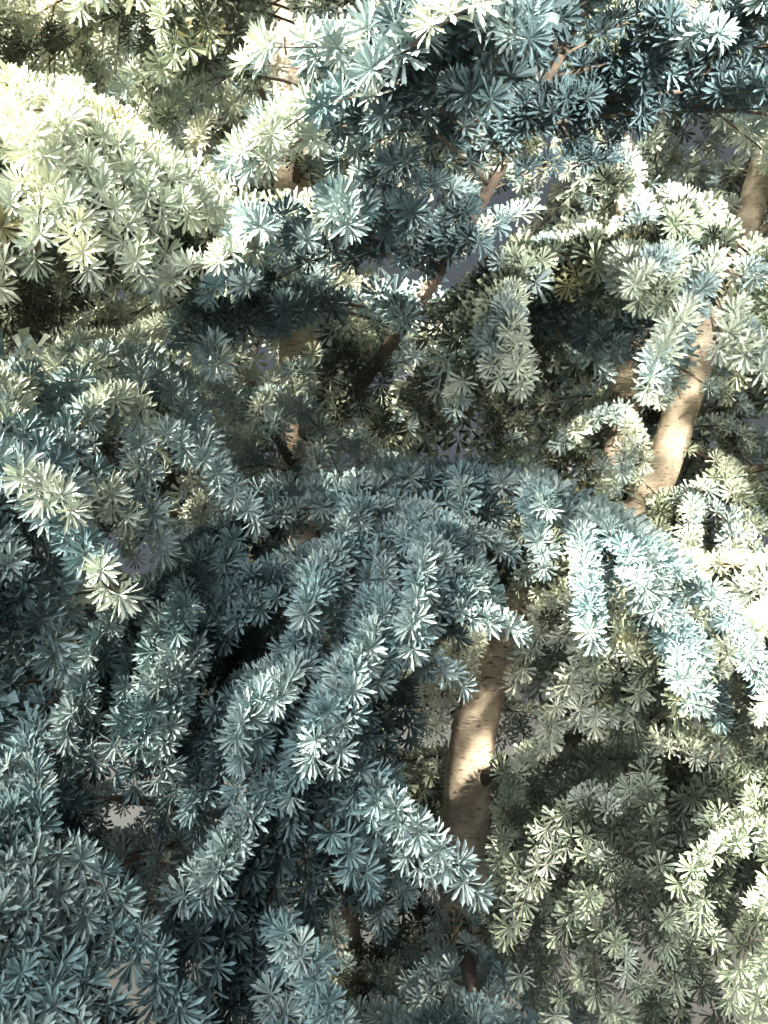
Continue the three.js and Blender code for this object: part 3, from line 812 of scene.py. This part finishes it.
def bark_grain_group():
    tree, given, result = new_group(
        "bark grain",
        [("Scale", "Float", 1.0), ("Ridges", "Float", 0.5)],
        [("Patches", "Float"), ("Lenticels", "Float"), ("Height", "Float")],
    )
    even = stretched(tree)
    ridge_scale, patch_scale, grit_scale = (
        product(tree, given.outputs["Scale"], scale) for scale in (RIDGE_SCALE, PATCH_SCALE, GRIT_SCALE)
    )
    bands = cloudy(tree, stretched(tree, RIDGES_ACROSS), ridge_scale, 3.0, 0.6)
    patches = cloudy(tree, even, patch_scale, 4.0, 0.65)
    grit = cloudy(tree, even, grit_scale, 2.0)
    ridged = product(tree, bands, given.outputs["Ridges"])
    height = total_of(tree, ridged, product(tree, grit, GRIT_SHARE))
    tree.links.new(between(tree, patches, *PATCH_EDGES), result.inputs["Patches"])
    tree.links.new(between(tree, bands, *LENTICEL_EDGES), result.inputs["Lenticels"])
    tree.links.new(height, result.inputs["Height"])
    return tree


BARK_GRAIN = bark_grain_group()


# %% Waxy bloom, a group for all needles
CLUMP_SCALE, SPECK_SCALE = 26.0, 240.0
BLOOM_EDGES = (0.75, 1.25)
GREEN_ROUGHNESS, BLOOM_ROUGHNESS = 0.5, 0.8


def waxy_bloom_group():
    tree, given, result = new_group(
        "waxy bloom",
        [("Needle", "Color", (0.2, 0.3, 0.3, 1)), ("Bloom", "Color", (0.5, 0.6, 0.6, 1)),
         ("Amount", "Float", 0.5)],
        [("Color", "Color"), ("Roughness", "Float")],
    )
    even = stretched(tree)
    both = total_of(tree, cloudy(tree, even, CLUMP_SCALE, 2.0, 0.6), cloudy(tree, even, SPECK_SCALE, 1.0))
    amount = product(tree, between(tree, both, *BLOOM_EDGES), given.outputs["Amount"])
    matt = add_node(tree, "MapRange", {"Value": amount, "To Min": GREEN_ROUGHNESS, "To Max": BLOOM_ROUGHNESS})
    colour = mixed(tree, amount, given.outputs["Needle"], given.outputs["Bloom"])
    tree.links.new(colour, result.inputs["Color"])
    tree.links.new(matt.outputs["Result"], result.inputs["Roughness"])
    return tree


WAXY_BLOOM = waxy_bloom_group()
print("groups:", [g.name for g in bpy.data.node_groups])

# %% [markdown]
# ## Needle and bark materials
# Needle tints differ from spray to spray, and much of the difference is painted light: cream paints
# sunlight, deep teal and the dark green paint shade, and silver, sage, steel and teal, the needles' own
# blue-grey and grey-green, are dealt paler outside and darker inside, which paints light and shade too. A
# few inner ones are straw coloured. A colour that has a place is dealt out by tuft, as plain materials, since
# a painted pattern would lose its place on a mesh of so many small faces. Within a spray the bloom varies a
# little. Bark is pale and smooth on the leaders, with fine cross marks, and dark on the boughs.

# %% Make the materials
NEEDLE_GLOSS, BARK_GLOSS = 0.35, 0.3
BARK_ROUGHNESS = 0.78
BARK_BUMP = 0.55
# Each tint has a needle colour, a bloom colour and an amount of bloom. The palest tint, cream, is painted
# sunlight, and the two darkest, deep teal and the dark green, are painted shade.
NEEDLES = {
    "cream": ((200, 204, 182), (244, 242, 222), 0.6),
    "silver": ((168, 178, 164), (226, 228, 208), 0.6),
    "sage": ((136, 148, 128), (190, 196, 170), 0.5),
    "steel": ((126, 144, 143), (176, 190, 186), 0.5),
    "teal": ((104, 128, 130), (148, 170, 171), 0.5),
    "deep_teal": ((60, 78, 80), (94, 112, 115), 0.5),
    "shade_green": ((56, 64, 52), (94, 102, 82), 0.5),
    "straw": ((146, 140, 104), (184, 180, 142), 0.5),
}


def new_material(name):
    material = bpy.data.materials.new(name)
    material.use_nodes = True
    tree = material.node_tree
    tree.nodes.clear()
    output = tree.nodes.new("ShaderNodeOutputMaterial")
    shader = tree.nodes.new("ShaderNodeBsdfPrincipled")
    tree.links.new(shader.outputs["BSDF"], output.inputs["Surface"])
    return material, tree, shader


def place_group(tree, group, values):
    node = tree.nodes.new("ShaderNodeGroup")
    node.node_tree = group
    for label, value in values.items():
        node.inputs[label].default_value = value
    return node


def needle_material(name, needle, bloom, amount):
    material, tree, shader = new_material(name)
    values = {"Needle": linear(*needle), "Bloom": linear(*bloom), "Amount": amount}
    waxy = place_group(tree, WAXY_BLOOM, values)
    tree.links.new(waxy.outputs["Color"], shader.inputs["Base Color"])
    tree.links.new(waxy.outputs["Roughness"], shader.inputs["Roughness"])
    shader.inputs["Specular IOR Level"].default_value = NEEDLE_GLOSS
    return material


def bark_material(name, pale, grey, mark, scale, ridges, depth):
    material, tree, shader = new_material(name)
    grain = place_group(tree, BARK_GRAIN, {"Scale": scale, "Ridges": ridges})
    patched = mixed(tree, grain.outputs["Patches"], linear(*pale), linear(*grey))
    marked = mixed(tree, grain.outputs["Lenticels"], patched, linear(*mark))
    bump = {"Height": grain.outputs["Height"], "Strength": BARK_BUMP, "Distance": depth}
    relief = add_node(tree, "Bump", bump)
    tree.links.new(marked, shader.inputs["Base Color"])
    tree.links.new(relief.outputs["Normal"], shader.inputs["Normal"])
    shader.inputs["Roughness"].default_value = BARK_ROUGHNESS
    shader.inputs["Specular IOR Level"].default_value = BARK_GLOSS
    return material


TINTS = {tint: needle_material(tint + "_needles", *colours) for tint, colours in NEEDLES.items()}
LEADER_BARK = bark_material("leader_bark", (206, 192, 170), (160, 146, 128), (112, 92, 74), 1.0, 1.0, 0.004)
BOUGH_BARK = bark_material("bough_bark", (88, 81, 75), (60, 57, 54), (40, 38, 36), 1.6, 1.0, 0.003)
TWIG_BARK = bark_material("twig_bark", (112, 98, 82), (84, 74, 64), (60, 52, 46), 4.0, 0.6, 0.0008)
print("materials:", [m.name for m in bpy.data.materials])

# %% [markdown]
# ## A tuft of needles
# A needle could be a tube, but at its real size nobody sees it as one. Close to the viewer it is a kite of
# two faces, narrow at its root, widest past its middle and folded a little along its rib, which has the true
# outline and catches the light on one side; farther off it is a single triangle, widest at its tip. The
# needles of a tuft spread from one point like an opened umbrella. A few tufts are drawn as arrays and set
# down thousands of times, turned and sized differently each time.

# %% Draw the tufts and set them down
VARIANTS = 6
VARIANT_TURN = 47
WIDEST_AT = 0.78
FOLD = 0.3
INNERMOST, OUTERMOST = 0.97, 0.12
LEAN_LUCK, WAY_LUCK, TILT_LUCK = 0.09, 0.12, 0.6
LENGTH_LUCK = (0.86, 1.12)
NEARLY_UPRIGHT = 0.9


def tuft_shape(needles, folded, length, width, variant):
    """Corners and triangles of one tuft about its spur, which points along +Z."""
    order = np.arange(needles)
    lean = np.arccos(lerp(INNERMOST, OUTERMOST, (order + 0.5) / needles))
    lean = lean + draw.uniform(-LEAN_LUCK, LEAN_LUCK, needles)
    way = np.radians(order * TURN_AROUND + variant * VARIANT_TURN)
    way = way + draw.uniform(-WAY_LUCK, WAY_LUCK, needles)
    along = np.stack([np.sin(lean) * np.cos(way), np.sin(lean) * np.sin(way), np.cos(lean)], axis=1)
    across = np.stack([-np.sin(way), np.cos(way), np.zeros(needles)], axis=1)
    tilt = draw.uniform(-TILT_LUCK, TILT_LUCK, needles)[:, None]
    across = across * np.cos(tilt) + np.cross(along, across) * np.sin(tilt)
    tip = along * length * draw.uniform(*LENGTH_LUCK, needles)[:, None]
    if folded:
        middle = tip * WIDEST_AT + np.cross(along, across) * width * FOLD
        needle = [middle - across * width / 2, middle + across * width / 2, tip]
    else:
        needle = [tip - across * width / 2, tip + across * width / 2]
    corners = np.concatenate([np.zeros((1, 3)), np.stack(needle, axis=1).reshape(-1, 3)])
    first = 1 + len(needle) * order[:, None]
    if not folded:
        return corners, np.hstack([0 * first, first, first + 1])
    return corners, np.concatenate([
        np.hstack([0 * first, first, first + 2]), np.hstack([0 * first, first + 2, first + 1])
    ])


def tuft_mesh(points, axes, levels, sizes):
    """Corners and triangles of all these tufts together."""
    parts = []
    spin = draw.uniform(0, 2 * math.pi, len(points))
    variant = draw.integers(0, VARIANTS, len(points))
    is_upright = np.abs(axes[:, 2:3]) >= NEARLY_UPRIGHT
    helper = np.where(is_upright, np.array([[1.0, 0, 0]]), np.array([[0, 0, 1.0]]))
    side = unit(np.cross(axes, helper))
    east = side * np.cos(spin)[:, None] + np.cross(axes, side) * np.sin(spin)[:, None]
    turned = np.stack([east, np.cross(axes, east), axes], axis=1) * sizes[:, None, None]
    for level, shapes in enumerate(TUFT_SHAPES):
        for v, (corners, faces) in enumerate(shapes):
            chosen = np.flatnonzero((levels == level) & (variant == v))
            if len(chosen):
                placed = np.einsum("ck,nkx->ncx", corners, turned[chosen]) + points[chosen, None]
                start = np.arange(len(chosen))[:, None, None] * len(corners)
                parts.append((placed.reshape(-1, 3), (faces[None] + start).reshape(-1, 3)))
    return joined(parts)


TUFT_SHAPES = [
    [tuft_shape(row["needles"], row["folded"], row["length"], row["width"], v) for v in range(VARIANTS)]
    for row in FINENESS
]
print("tuft shapes:", VARIANTS, "for each of", [row["name"] for row in FINENESS])

# %% [markdown]
# ## Deal out the tints
# Light reaches the outside of a crown and fades on the way in, and the tints paint it: painted shade
# inside, painted light outside. So each tuft counts how much foliage stands just above it and outside it.
# The tufts of a mass are put in that order, with a little luck for each branchlet, and the tints are dealt
# from the inside out: dark ones first, silver and cream last. The masses that hang in shade get deep teal,
# teal and steel as painted shade, the half-shaded ones some silver too, the two low masses on the right
# mostly dark green as painted deep shade, and the sunny masses cream as painted sunlight. Colours drawn at
# random would look like confetti, and this looks lit.

# %% Deal the tints and build the needle pieces
SHADE_SLOT = ("weeping", "reaching", "low_front", "mid_over_left")
# The kinds of mass paint light and shade: the shade and half-shade kinds get dark tints as painted shade, the
# two low masses on the right get painted deep shade, and the sunny ones get cream as painted sunlight.
MASSES = {
    "shade": ("weeping", "low_front", "low_front_left", "low_left", "mid_front_left"),
    "half_shade": ("reaching", "mid_over_left"),
    "sunny": ("high_front_left", "upper_front_left", "mid_front_right", "high_front_right"),
    "deep_shade": ("low_front_right", "low_right"),
}
# Shares of each tint, listed from the inside out: the darker inner tints are painted shade and the paler
# outer ones painted light.
INSIDE_OUT = {
    "shade": {"deep_teal": 0.32, "teal": 0.4, "steel": 0.28},
    "half_shade": {"deep_teal": 0.28, "teal": 0.2, "steel": 0.28, "silver": 0.24},
    "deep_shade": {"shade_green": 0.55, "sage": 0.31, "silver": 0.14},
    "sunny": {"shade_green": 0.22, "straw": 0.03, "sage": 0.13, "silver": 0.27, "cream": 0.35},
    "crown": {"shade_green": 0.3, "straw": 0.02, "sage": 0.24, "steel": 0.14, "silver": 0.3},
}
CELL = 0.06
PROBES = (0.05, 0.1, 0.16)
LUCK_SPREAD = 0.12
TUFT_SIZES = (0.86, 1.14)
FIRST_ROWS = (0, 10007, 20011)
GROUPS = ["shade", "low", "mid", "high", "upper", "top", "tip"]
KIND_OF_MASS = {name: kind for kind, names in MASSES.items() for name in names}
kind_of = np.array([KIND_OF_MASS.get(s["name"], "crown") for s in stems])
group_of = np.array(["shade" if s["name"] in SHADE_SLOT else s["tier"] for s in stems])


def cover_over(points, levels):
    """How much foliage stands just above and outside each tuft, counted in cells of a grid."""
    margin = PROBES[-1] + CELL
    corner = points.min(axis=0) - margin
    crowd = np.zeros(np.ceil((points.max(axis=0) + margin - corner) / CELL).astype(int))
    np.add.at(crowd, tuple(((points - corner) / CELL).astype(int).T), PITCHES[levels])
    way = unit(outward(points) + np.array([0, 0, 1.0]))
    return sum(crowd[tuple(((points + reach * way - corner) / CELL).astype(int).T)] for reach in PROBES)


def ranked(values):
    """The place of each value in their order, from 0 to 1."""
    place = np.empty(len(values))
    place[np.argsort(values)] = (np.arange(len(values)) + 0.5) / len(values)
    return place


def dealt(points, levels, owners, rows):
    """The tint of each tuft, by how far inside it sits and by the luck of its branchlet: dark tints inside as
    painted shade, pale ones outside as painted light.
    """
    cover = cover_over(points, levels)
    luck = np.modf(np.abs(np.sin(rows * LUCK_WAVES[0]) * LUCK_HEIGHT))[0]
    tint = np.empty(len(owners), dtype=object)
    for kind, shares in INSIDE_OUT.items():
        chosen = kind_of[owners] == kind
        open_to_light = ranked(LUCK_SPREAD * luck[chosen] - ranked(cover[chosen]))
        limits = np.cumsum(list(shares.values()))
        place = np.minimum(np.searchsorted(limits, open_to_light), len(limits) - 1)
        tint[chosen] = np.array(list(shares))[place]
    return tint


all_tufts = (branchlet_tufts, twig_tufts, stem_tufts)
points, axes, owners, rows, levels = (np.concatenate(column) for column in zip(*all_tufts))
tints = dealt(points, levels, owners, rows + np.repeat(FIRST_ROWS, [len(tufts[0]) for tufts in all_tufts]))
sizes = draw.uniform(*TUFT_SIZES, len(points))
total = 0
for group in GROUPS:
    nodes = [s["name"] + "_mass" for s, own_group in zip(stems, group_of) if own_group == group]
    for tint, material in TINTS.items():
        chosen = (group_of[owners] == group) & (tints == tint)
        if not chosen.any():
            continue
        corners, faces = tuft_mesh(points[chosen], axes[chosen], levels[chosen], sizes[chosen])
        piece = mesh_object(f"{group}_{tint}_needles", corners, faces, material)
        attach(piece, "root")
        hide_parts(*nodes)
        total += len(faces)
        print(piece.name, len(faces), "triangles")
print("tufts:", len(points), "needles:", total, "triangles")

# %% [markdown]
# ## Stems, side twigs and branchlets
# The wood that carries the needles shows in the gaps as thin brown lines. Tubes with a few sides are enough
# for it: eight on a stem, four on a side twig and three on a branchlet.

# %% Build the twigs
TWIG_GIRTH, BRANCHLET_GIRTH = 0.0034, 0.0016
END_SHARE = 0.4
STEM_SIDES, TWIG_SIDES, BRANCHLET_SIDES = 8, 4, 3
SUNK = 0.02
FAR_GIRTH = 1.4
UP_FOR_TUBES = np.array([0.3, 0.2, 1.0])

wood = []
for order, stem in enumerate(stems):
    has_bough = order < len(long_boughs) or stem["around"]
    share = np.linspace(stem["bare"] - SUNK if has_bough else 0, 1, LINE_STEPS + 1)
    line, radii = point_on(stem["line"], share), bough_radius(stem, share)
    wood.append(tubes(line[None], radii[None], STEM_SIDES, side_of(stem["heading"])[None]))
twig_sides = np.stack([side_of(t["heading"]) for t in side_twigs])
twig_radii = np.linspace(TWIG_GIRTH, END_SHARE * TWIG_GIRTH, TWIG_STEPS + 1) * np.ones((len(side_twigs), 1))
wood.append(tubes(twig_lines, twig_radii, TWIG_SIDES, twig_sides))
is_far = fineness_of(branch_lines[:, BRANCHLET_STEPS // 2]) >= BACK
thin = []
for chosen, steps, girth in ((~is_far, [0, 2, 4], 1.0), (is_far, [0, 3], FAR_GIRTH)):
    lines = branch_lines[chosen][:, steps]
    sides = unit(np.cross(lines[:, -1] - lines[:, 0], UP_FOR_TUBES))
    radii = np.linspace(1, END_SHARE, len(steps)) * girth * BRANCHLET_GIRTH * np.ones((len(lines), 1))
    thin.append(tubes(lines, radii, BRANCHLET_SIDES, sides))
stem_wood = mesh_object("stems_and_twigs", *joined(wood), TWIG_BARK, smooth=True)
branchlet_wood = mesh_object("branchlets", *joined(thin), TWIG_BARK)
for piece in (stem_wood, branchlet_wood):
    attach(piece, "root")
    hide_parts(*[s["name"] + "_mass" for s in stems])
    print(piece.name, len(piece.data.polygons), "triangles")

# %% [markdown]
# ## Trunk and leaders
# The trunk and its leaders are one living surface: where a leader leaves, the bark flows from one into the
# other. Separate tubes would show a crease there. So all five are swept, joined and remade as one skin of
# small cells, and then the relief is pressed into it: shallow dents, collars round the boughs' feet and
# healed scars.

# %% Sweep and join the limbs
LIMB_SIDES = 28
LIMB_STEP = 0.02
TRUNK_RINGS = 26
SKIN_CELL = 0.011


def trunk_skin():
    """Corners and faces of the trunk, whose section is an oval with root lobes that fade upwards."""
    rows = np.array(TRUNK)
    heights = np.linspace(0, rows[-1, 0], TRUNK_RINGS)
    width, depth, lobes = (np.interp(heights, rows[:, 0], rows[:, column]) for column in (1, 2, 3))
    sides = 2 * LIMB_SIDES
    angle = np.arange(sides) * math.pi / LIMB_SIDES
    lobe = 1 + lobes[:, None] * np.cos(ROOT_LOBES * angle)
    x = -np.sin(angle) * width[:, None] * lobe
    y = np.cos(angle) * depth[:, None] * lobe
    z = np.broadcast_to(heights[:, None], x.shape)
    faces = []
    for ring in range(TRUNK_RINGS - 1):
        for k in range(sides):
            here, following = ring * sides + k, ring * sides + (k + 1) % sides
            faces.append((here, following, following + sides, here + sides))
    last = (TRUNK_RINGS - 1) * sides
    faces.append(tuple(range(sides))[::-1])
    faces.append(tuple(range(last, last + sides)))
    return np.stack([x, y, z], axis=-1).reshape(-1, 3), faces


def leader_skin(name):
    places = [leader_at(name, share) for share in np.linspace(0, 1, int(leader_length(name) / LIMB_STEP))]
    line, radii = (np.array(column) for column in zip(*places))
    return tubes(line[None], radii[None], LIMB_SIDES, np.array([[0, 1.0, 0]]))


skin_parts = [mesh_object("trunk_skin", *trunk_skin(), LEADER_BARK)]
skin_parts += [mesh_object(name + "_skin", *leader_skin(name), LEADER_BARK) for name in LEADERS]
with bpy.context.temp_override(active_object=skin_parts[0], selected_editable_objects=skin_parts):
    bpy.ops.object.join()
skin = skin_parts[0]
remake = skin.modifiers.new("one skin", "REMESH")
remake.mode = "VOXEL"
remake.voxel_size = SKIN_CELL
bpy.context.view_layer.update()
remade = bpy.data.meshes.new_from_object(skin.evaluated_get(bpy.context.evaluated_depsgraph_get()))
bpy.data.objects.remove(skin)
print("skin of trunk and leaders:", len(remade.polygons), "faces")

# %% Press in the relief
DENT, DENT_SCALE = 0.0022, (16, 16, 11)
RIPPLE, RIPPLE_SCALE = 0.0011, (30, 30, 95)
COLLAR, COLLAR_AHEAD, COLLAR_REACH = 0.007, 0.04, 2.1
SCAR, SCAR_SIZES = 0.0035, (0.012, 0.022)
SCARS_ON_EACH, SCARS_FROM, SCARS_SPAN = 16, 0.1, 0.85
RIM_WIDTH, PIT_WIDTH, PIT_DEPTH = 0.35, 0.6, 0.9
FOOT_CELLS = 0.6


def noise_at(points, scale):
    return np.array([noise.noise(Vector(point)) for point in points * np.asarray(scale)])


def swellings():
    """Centre, reach and height of each swelling: a collar at each bough's foot, and healed scars."""
    found = []
    for stem in long_boughs + short_boughs:
        foot, ahead = stem["line"][0], stem["line"][1]
        found.append((foot + unit(ahead - foot) * COLLAR_AHEAD, stem["girth"] * COLLAR_REACH, COLLAR))
    for index, leader in enumerate(LEADERS):
        for k in range(SCARS_ON_EACH):
            point, radius = leader_at(leader, SCARS_FROM + SCARS_SPAN * chance(k, index))
            way = 2 * math.pi * chance(k, index + 20)
            side = np.array([math.cos(way), math.sin(way), 0])
            found.append((point + side * radius, lerp(*SCAR_SIZES, chance(k, index + 40)), SCAR))
    return found


def read_vectors(items, key):
    values = np.zeros(len(items) * 3)
    items.foreach_get(key, values)
    return values.reshape(-1, 3)


corners, normals = read_vectors(remade.vertices, "co"), read_vectors(remade.vertex_normals, "vector")
lift = DENT * noise_at(corners, DENT_SCALE) + RIPPLE * noise_at(corners, RIPPLE_SCALE)
for centre, reach, height in swellings():
    away = np.linalg.norm(corners - centre, axis=1) / reach
    if height == SCAR:
        rim = np.exp(-(((away - 1) / RIM_WIDTH) ** 2))
        lift += height * (rim - PIT_DEPTH * np.exp(-((away / PIT_WIDTH) ** 2)))
    else:
        lift += height * np.exp(-(away**2))
corners = corners + normals * lift[:, None]
corners[:, 2] = np.where(corners[:, 2] < FOOT_CELLS * SKIN_CELL, 0, corners[:, 2])
remade.vertices.foreach_set("co", corners.ravel())
remade.polygons.foreach_set("use_smooth", np.full(len(remade.polygons), True))
remade.update()
leaders_bark = bpy.data.objects.new("trunk_and_leaders_bark", remade)
bpy.context.scene.collection.objects.link(leaders_bark)
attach(leaders_bark, "root")
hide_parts("trunk", *LEADERS)
print("bark relief from", round(float(lift.min()) * 1000, 1), "to", round(float(lift.max()) * 1000, 1), "mm")

# %% [markdown]
# ## The long boughs
# Ten boughs show bare wood between their leader and their foliage. Each is swept along its own line, with
# knots where twigs once grew and a rough, slightly crooked surface, and each is its own piece.

# %% Build the long boughs
BOUGH_SIDES = 14
BOUGH_STEP = 0.012
KNOT_PITCH, KNOT_LENGTH, KNOT_SWELL = 0.085, 0.009, 0.16
ROUGH, ROUGH_SCALE = 0.0022, 40
FINE_ROUGH, FINE_ROUGH_SCALE = 0.0012, 110


def bough_skin(stem):
    last = stem["bare"] + SUNK
    share = np.linspace(0, last, int(stem["length"] * last / BOUGH_STEP))
    line = point_on(stem["line"], share)
    from_knot = (share * stem["length"]) % KNOT_PITCH - KNOT_PITCH / 2
    knots = 1 + KNOT_SWELL * np.exp(-(from_knot / KNOT_LENGTH) ** 2)
    radii = bough_radius(stem, share) * knots
    corners, faces = tubes(line[None], radii[None], BOUGH_SIDES, side_of(stem["heading"])[None])
    away = unit(corners - np.repeat(line, BOUGH_SIDES, axis=0))
    rough = ROUGH * noise_at(corners, ROUGH_SCALE) + FINE_ROUGH * noise_at(corners, FINE_ROUGH_SCALE)
    return corners + away * rough[:, None], faces


for stem in long_boughs:
    piece = mesh_object(stem["name"] + "_bough_bark", *bough_skin(stem), BOUGH_BARK, smooth=True)
    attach(piece, "root")
    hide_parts(stem["name"] + "_bough")
print("long boughs:", len(long_boughs))

# %% [markdown]
# ## Floor and light
# The tree stands on a plain pale floor. In a wood the sun comes through in beams, so warm narrow lamps
# stand for it, far off so that they fade little across the crown: two from the upper left, two from the
# right, and a weaker fill for the tufts overhead. One broad cool lamp in front gives the hanging foliage
# its teal, one warm lamp behind closes the outline, and a dim sky lifts the rest. A single sun lamp would
# light all of it alike.

# %% Floor, lights and sky
FLOOR_REACH = 250
FLOOR_ROUGHNESS = 0.9
floor_corners = [(x * FLOOR_REACH, y * FLOOR_REACH, 0) for x, y in ((-1, -1), (1, -1), (1, 1), (-1, 1))]
floor_material, floor_tree, floor_shader = new_material("pale_floor")
patchy = add_node(floor_tree, "TexNoise", {"Scale": 3.0, "Detail": 3.0})
tone = mixed(floor_tree, patchy.outputs["Fac"], linear(182, 182, 177), linear(194, 194, 189))
floor_tree.links.new(tone, floor_shader.inputs["Base Color"])
floor_shader.inputs["Roughness"].default_value = FLOOR_ROUGHNESS
floor = mesh_object("floor", floor_corners, [(0, 1, 2, 3)], floor_material)


def light(name, kind, place, target, colour, energy, **settings):
    data = bpy.data.lights.new(name, kind)
    data.color = colour
    data.energy = energy
    for key, value in settings.items():
        setattr(data, key, value)
    lamp = bpy.data.objects.new(name, data)
    lamp.location = place
    lamp.rotation_euler = (Vector(target) - Vector(place)).to_track_quat("-Z", "Y").to_euler()
    bpy.context.scene.collection.objects.link(lamp)


WARM = (1.0, 0.92, 0.78)
PALE = (0.93, 0.97, 1.0)
NEUTRAL = (1.0, 0.98, 0.94)
SOFT_EDGE = dict(spot_blend=0.5, shadow_soft_size=0.2)
SQUARE = dict(shape="RECTANGLE", size=4.0, size_y=4.0)
BEAMS = [
    ("sun_beam", (-5.3, -4.4, 5.32), (0.1, -0.4, 2.28), WARM, 29000.0, 19),
    ("top_left_beam", (-3.75, -5.2, 4.25), (-0.05, -0.6, 2.35), WARM, 6000.0, 11),
    ("lower_right_beam", (3.45, -4.7, 5.12), (0.66, -0.42, 1.55), WARM, 11500.0, 11),
    ("middle_right_beam", (2.38, -5.3, 5.1), (0.47, -0.3, 2.1), WARM, 8200.0, 8.5),
    ("top_right_fill", (1.4, -5.9, 0.9), (0.4, -0.7, 2.5), NEUTRAL, 9500.0, 12),
]
for name, place, target, colour, energy, angle in BEAMS:
    light(name, "SPOT", place, target, colour, energy, spot_size=math.radians(angle), **SOFT_EDGE)
light("front_softbox", "AREA", (-2.4, -5.6, 4.2), (-0.2, 0, 1.8), PALE, 690.0, **SQUARE)
light("back_softbox", "AREA", (1.5, 5.5, 6.5), (0, 0, 2.2), WARM, 400.0, **SQUARE)

world = bpy.data.worlds.new("sky")
world.use_nodes = True
sky = world.node_tree.nodes["Background"]
sky.inputs["Color"].default_value = linear(206, 220, 232)
sky.inputs["Strength"].default_value = 0.17
bpy.context.scene.world = world
bpy.context.scene.view_settings.view_transform = "Standard"
print("lamps:", [lamp.name for lamp in bpy.data.lights])
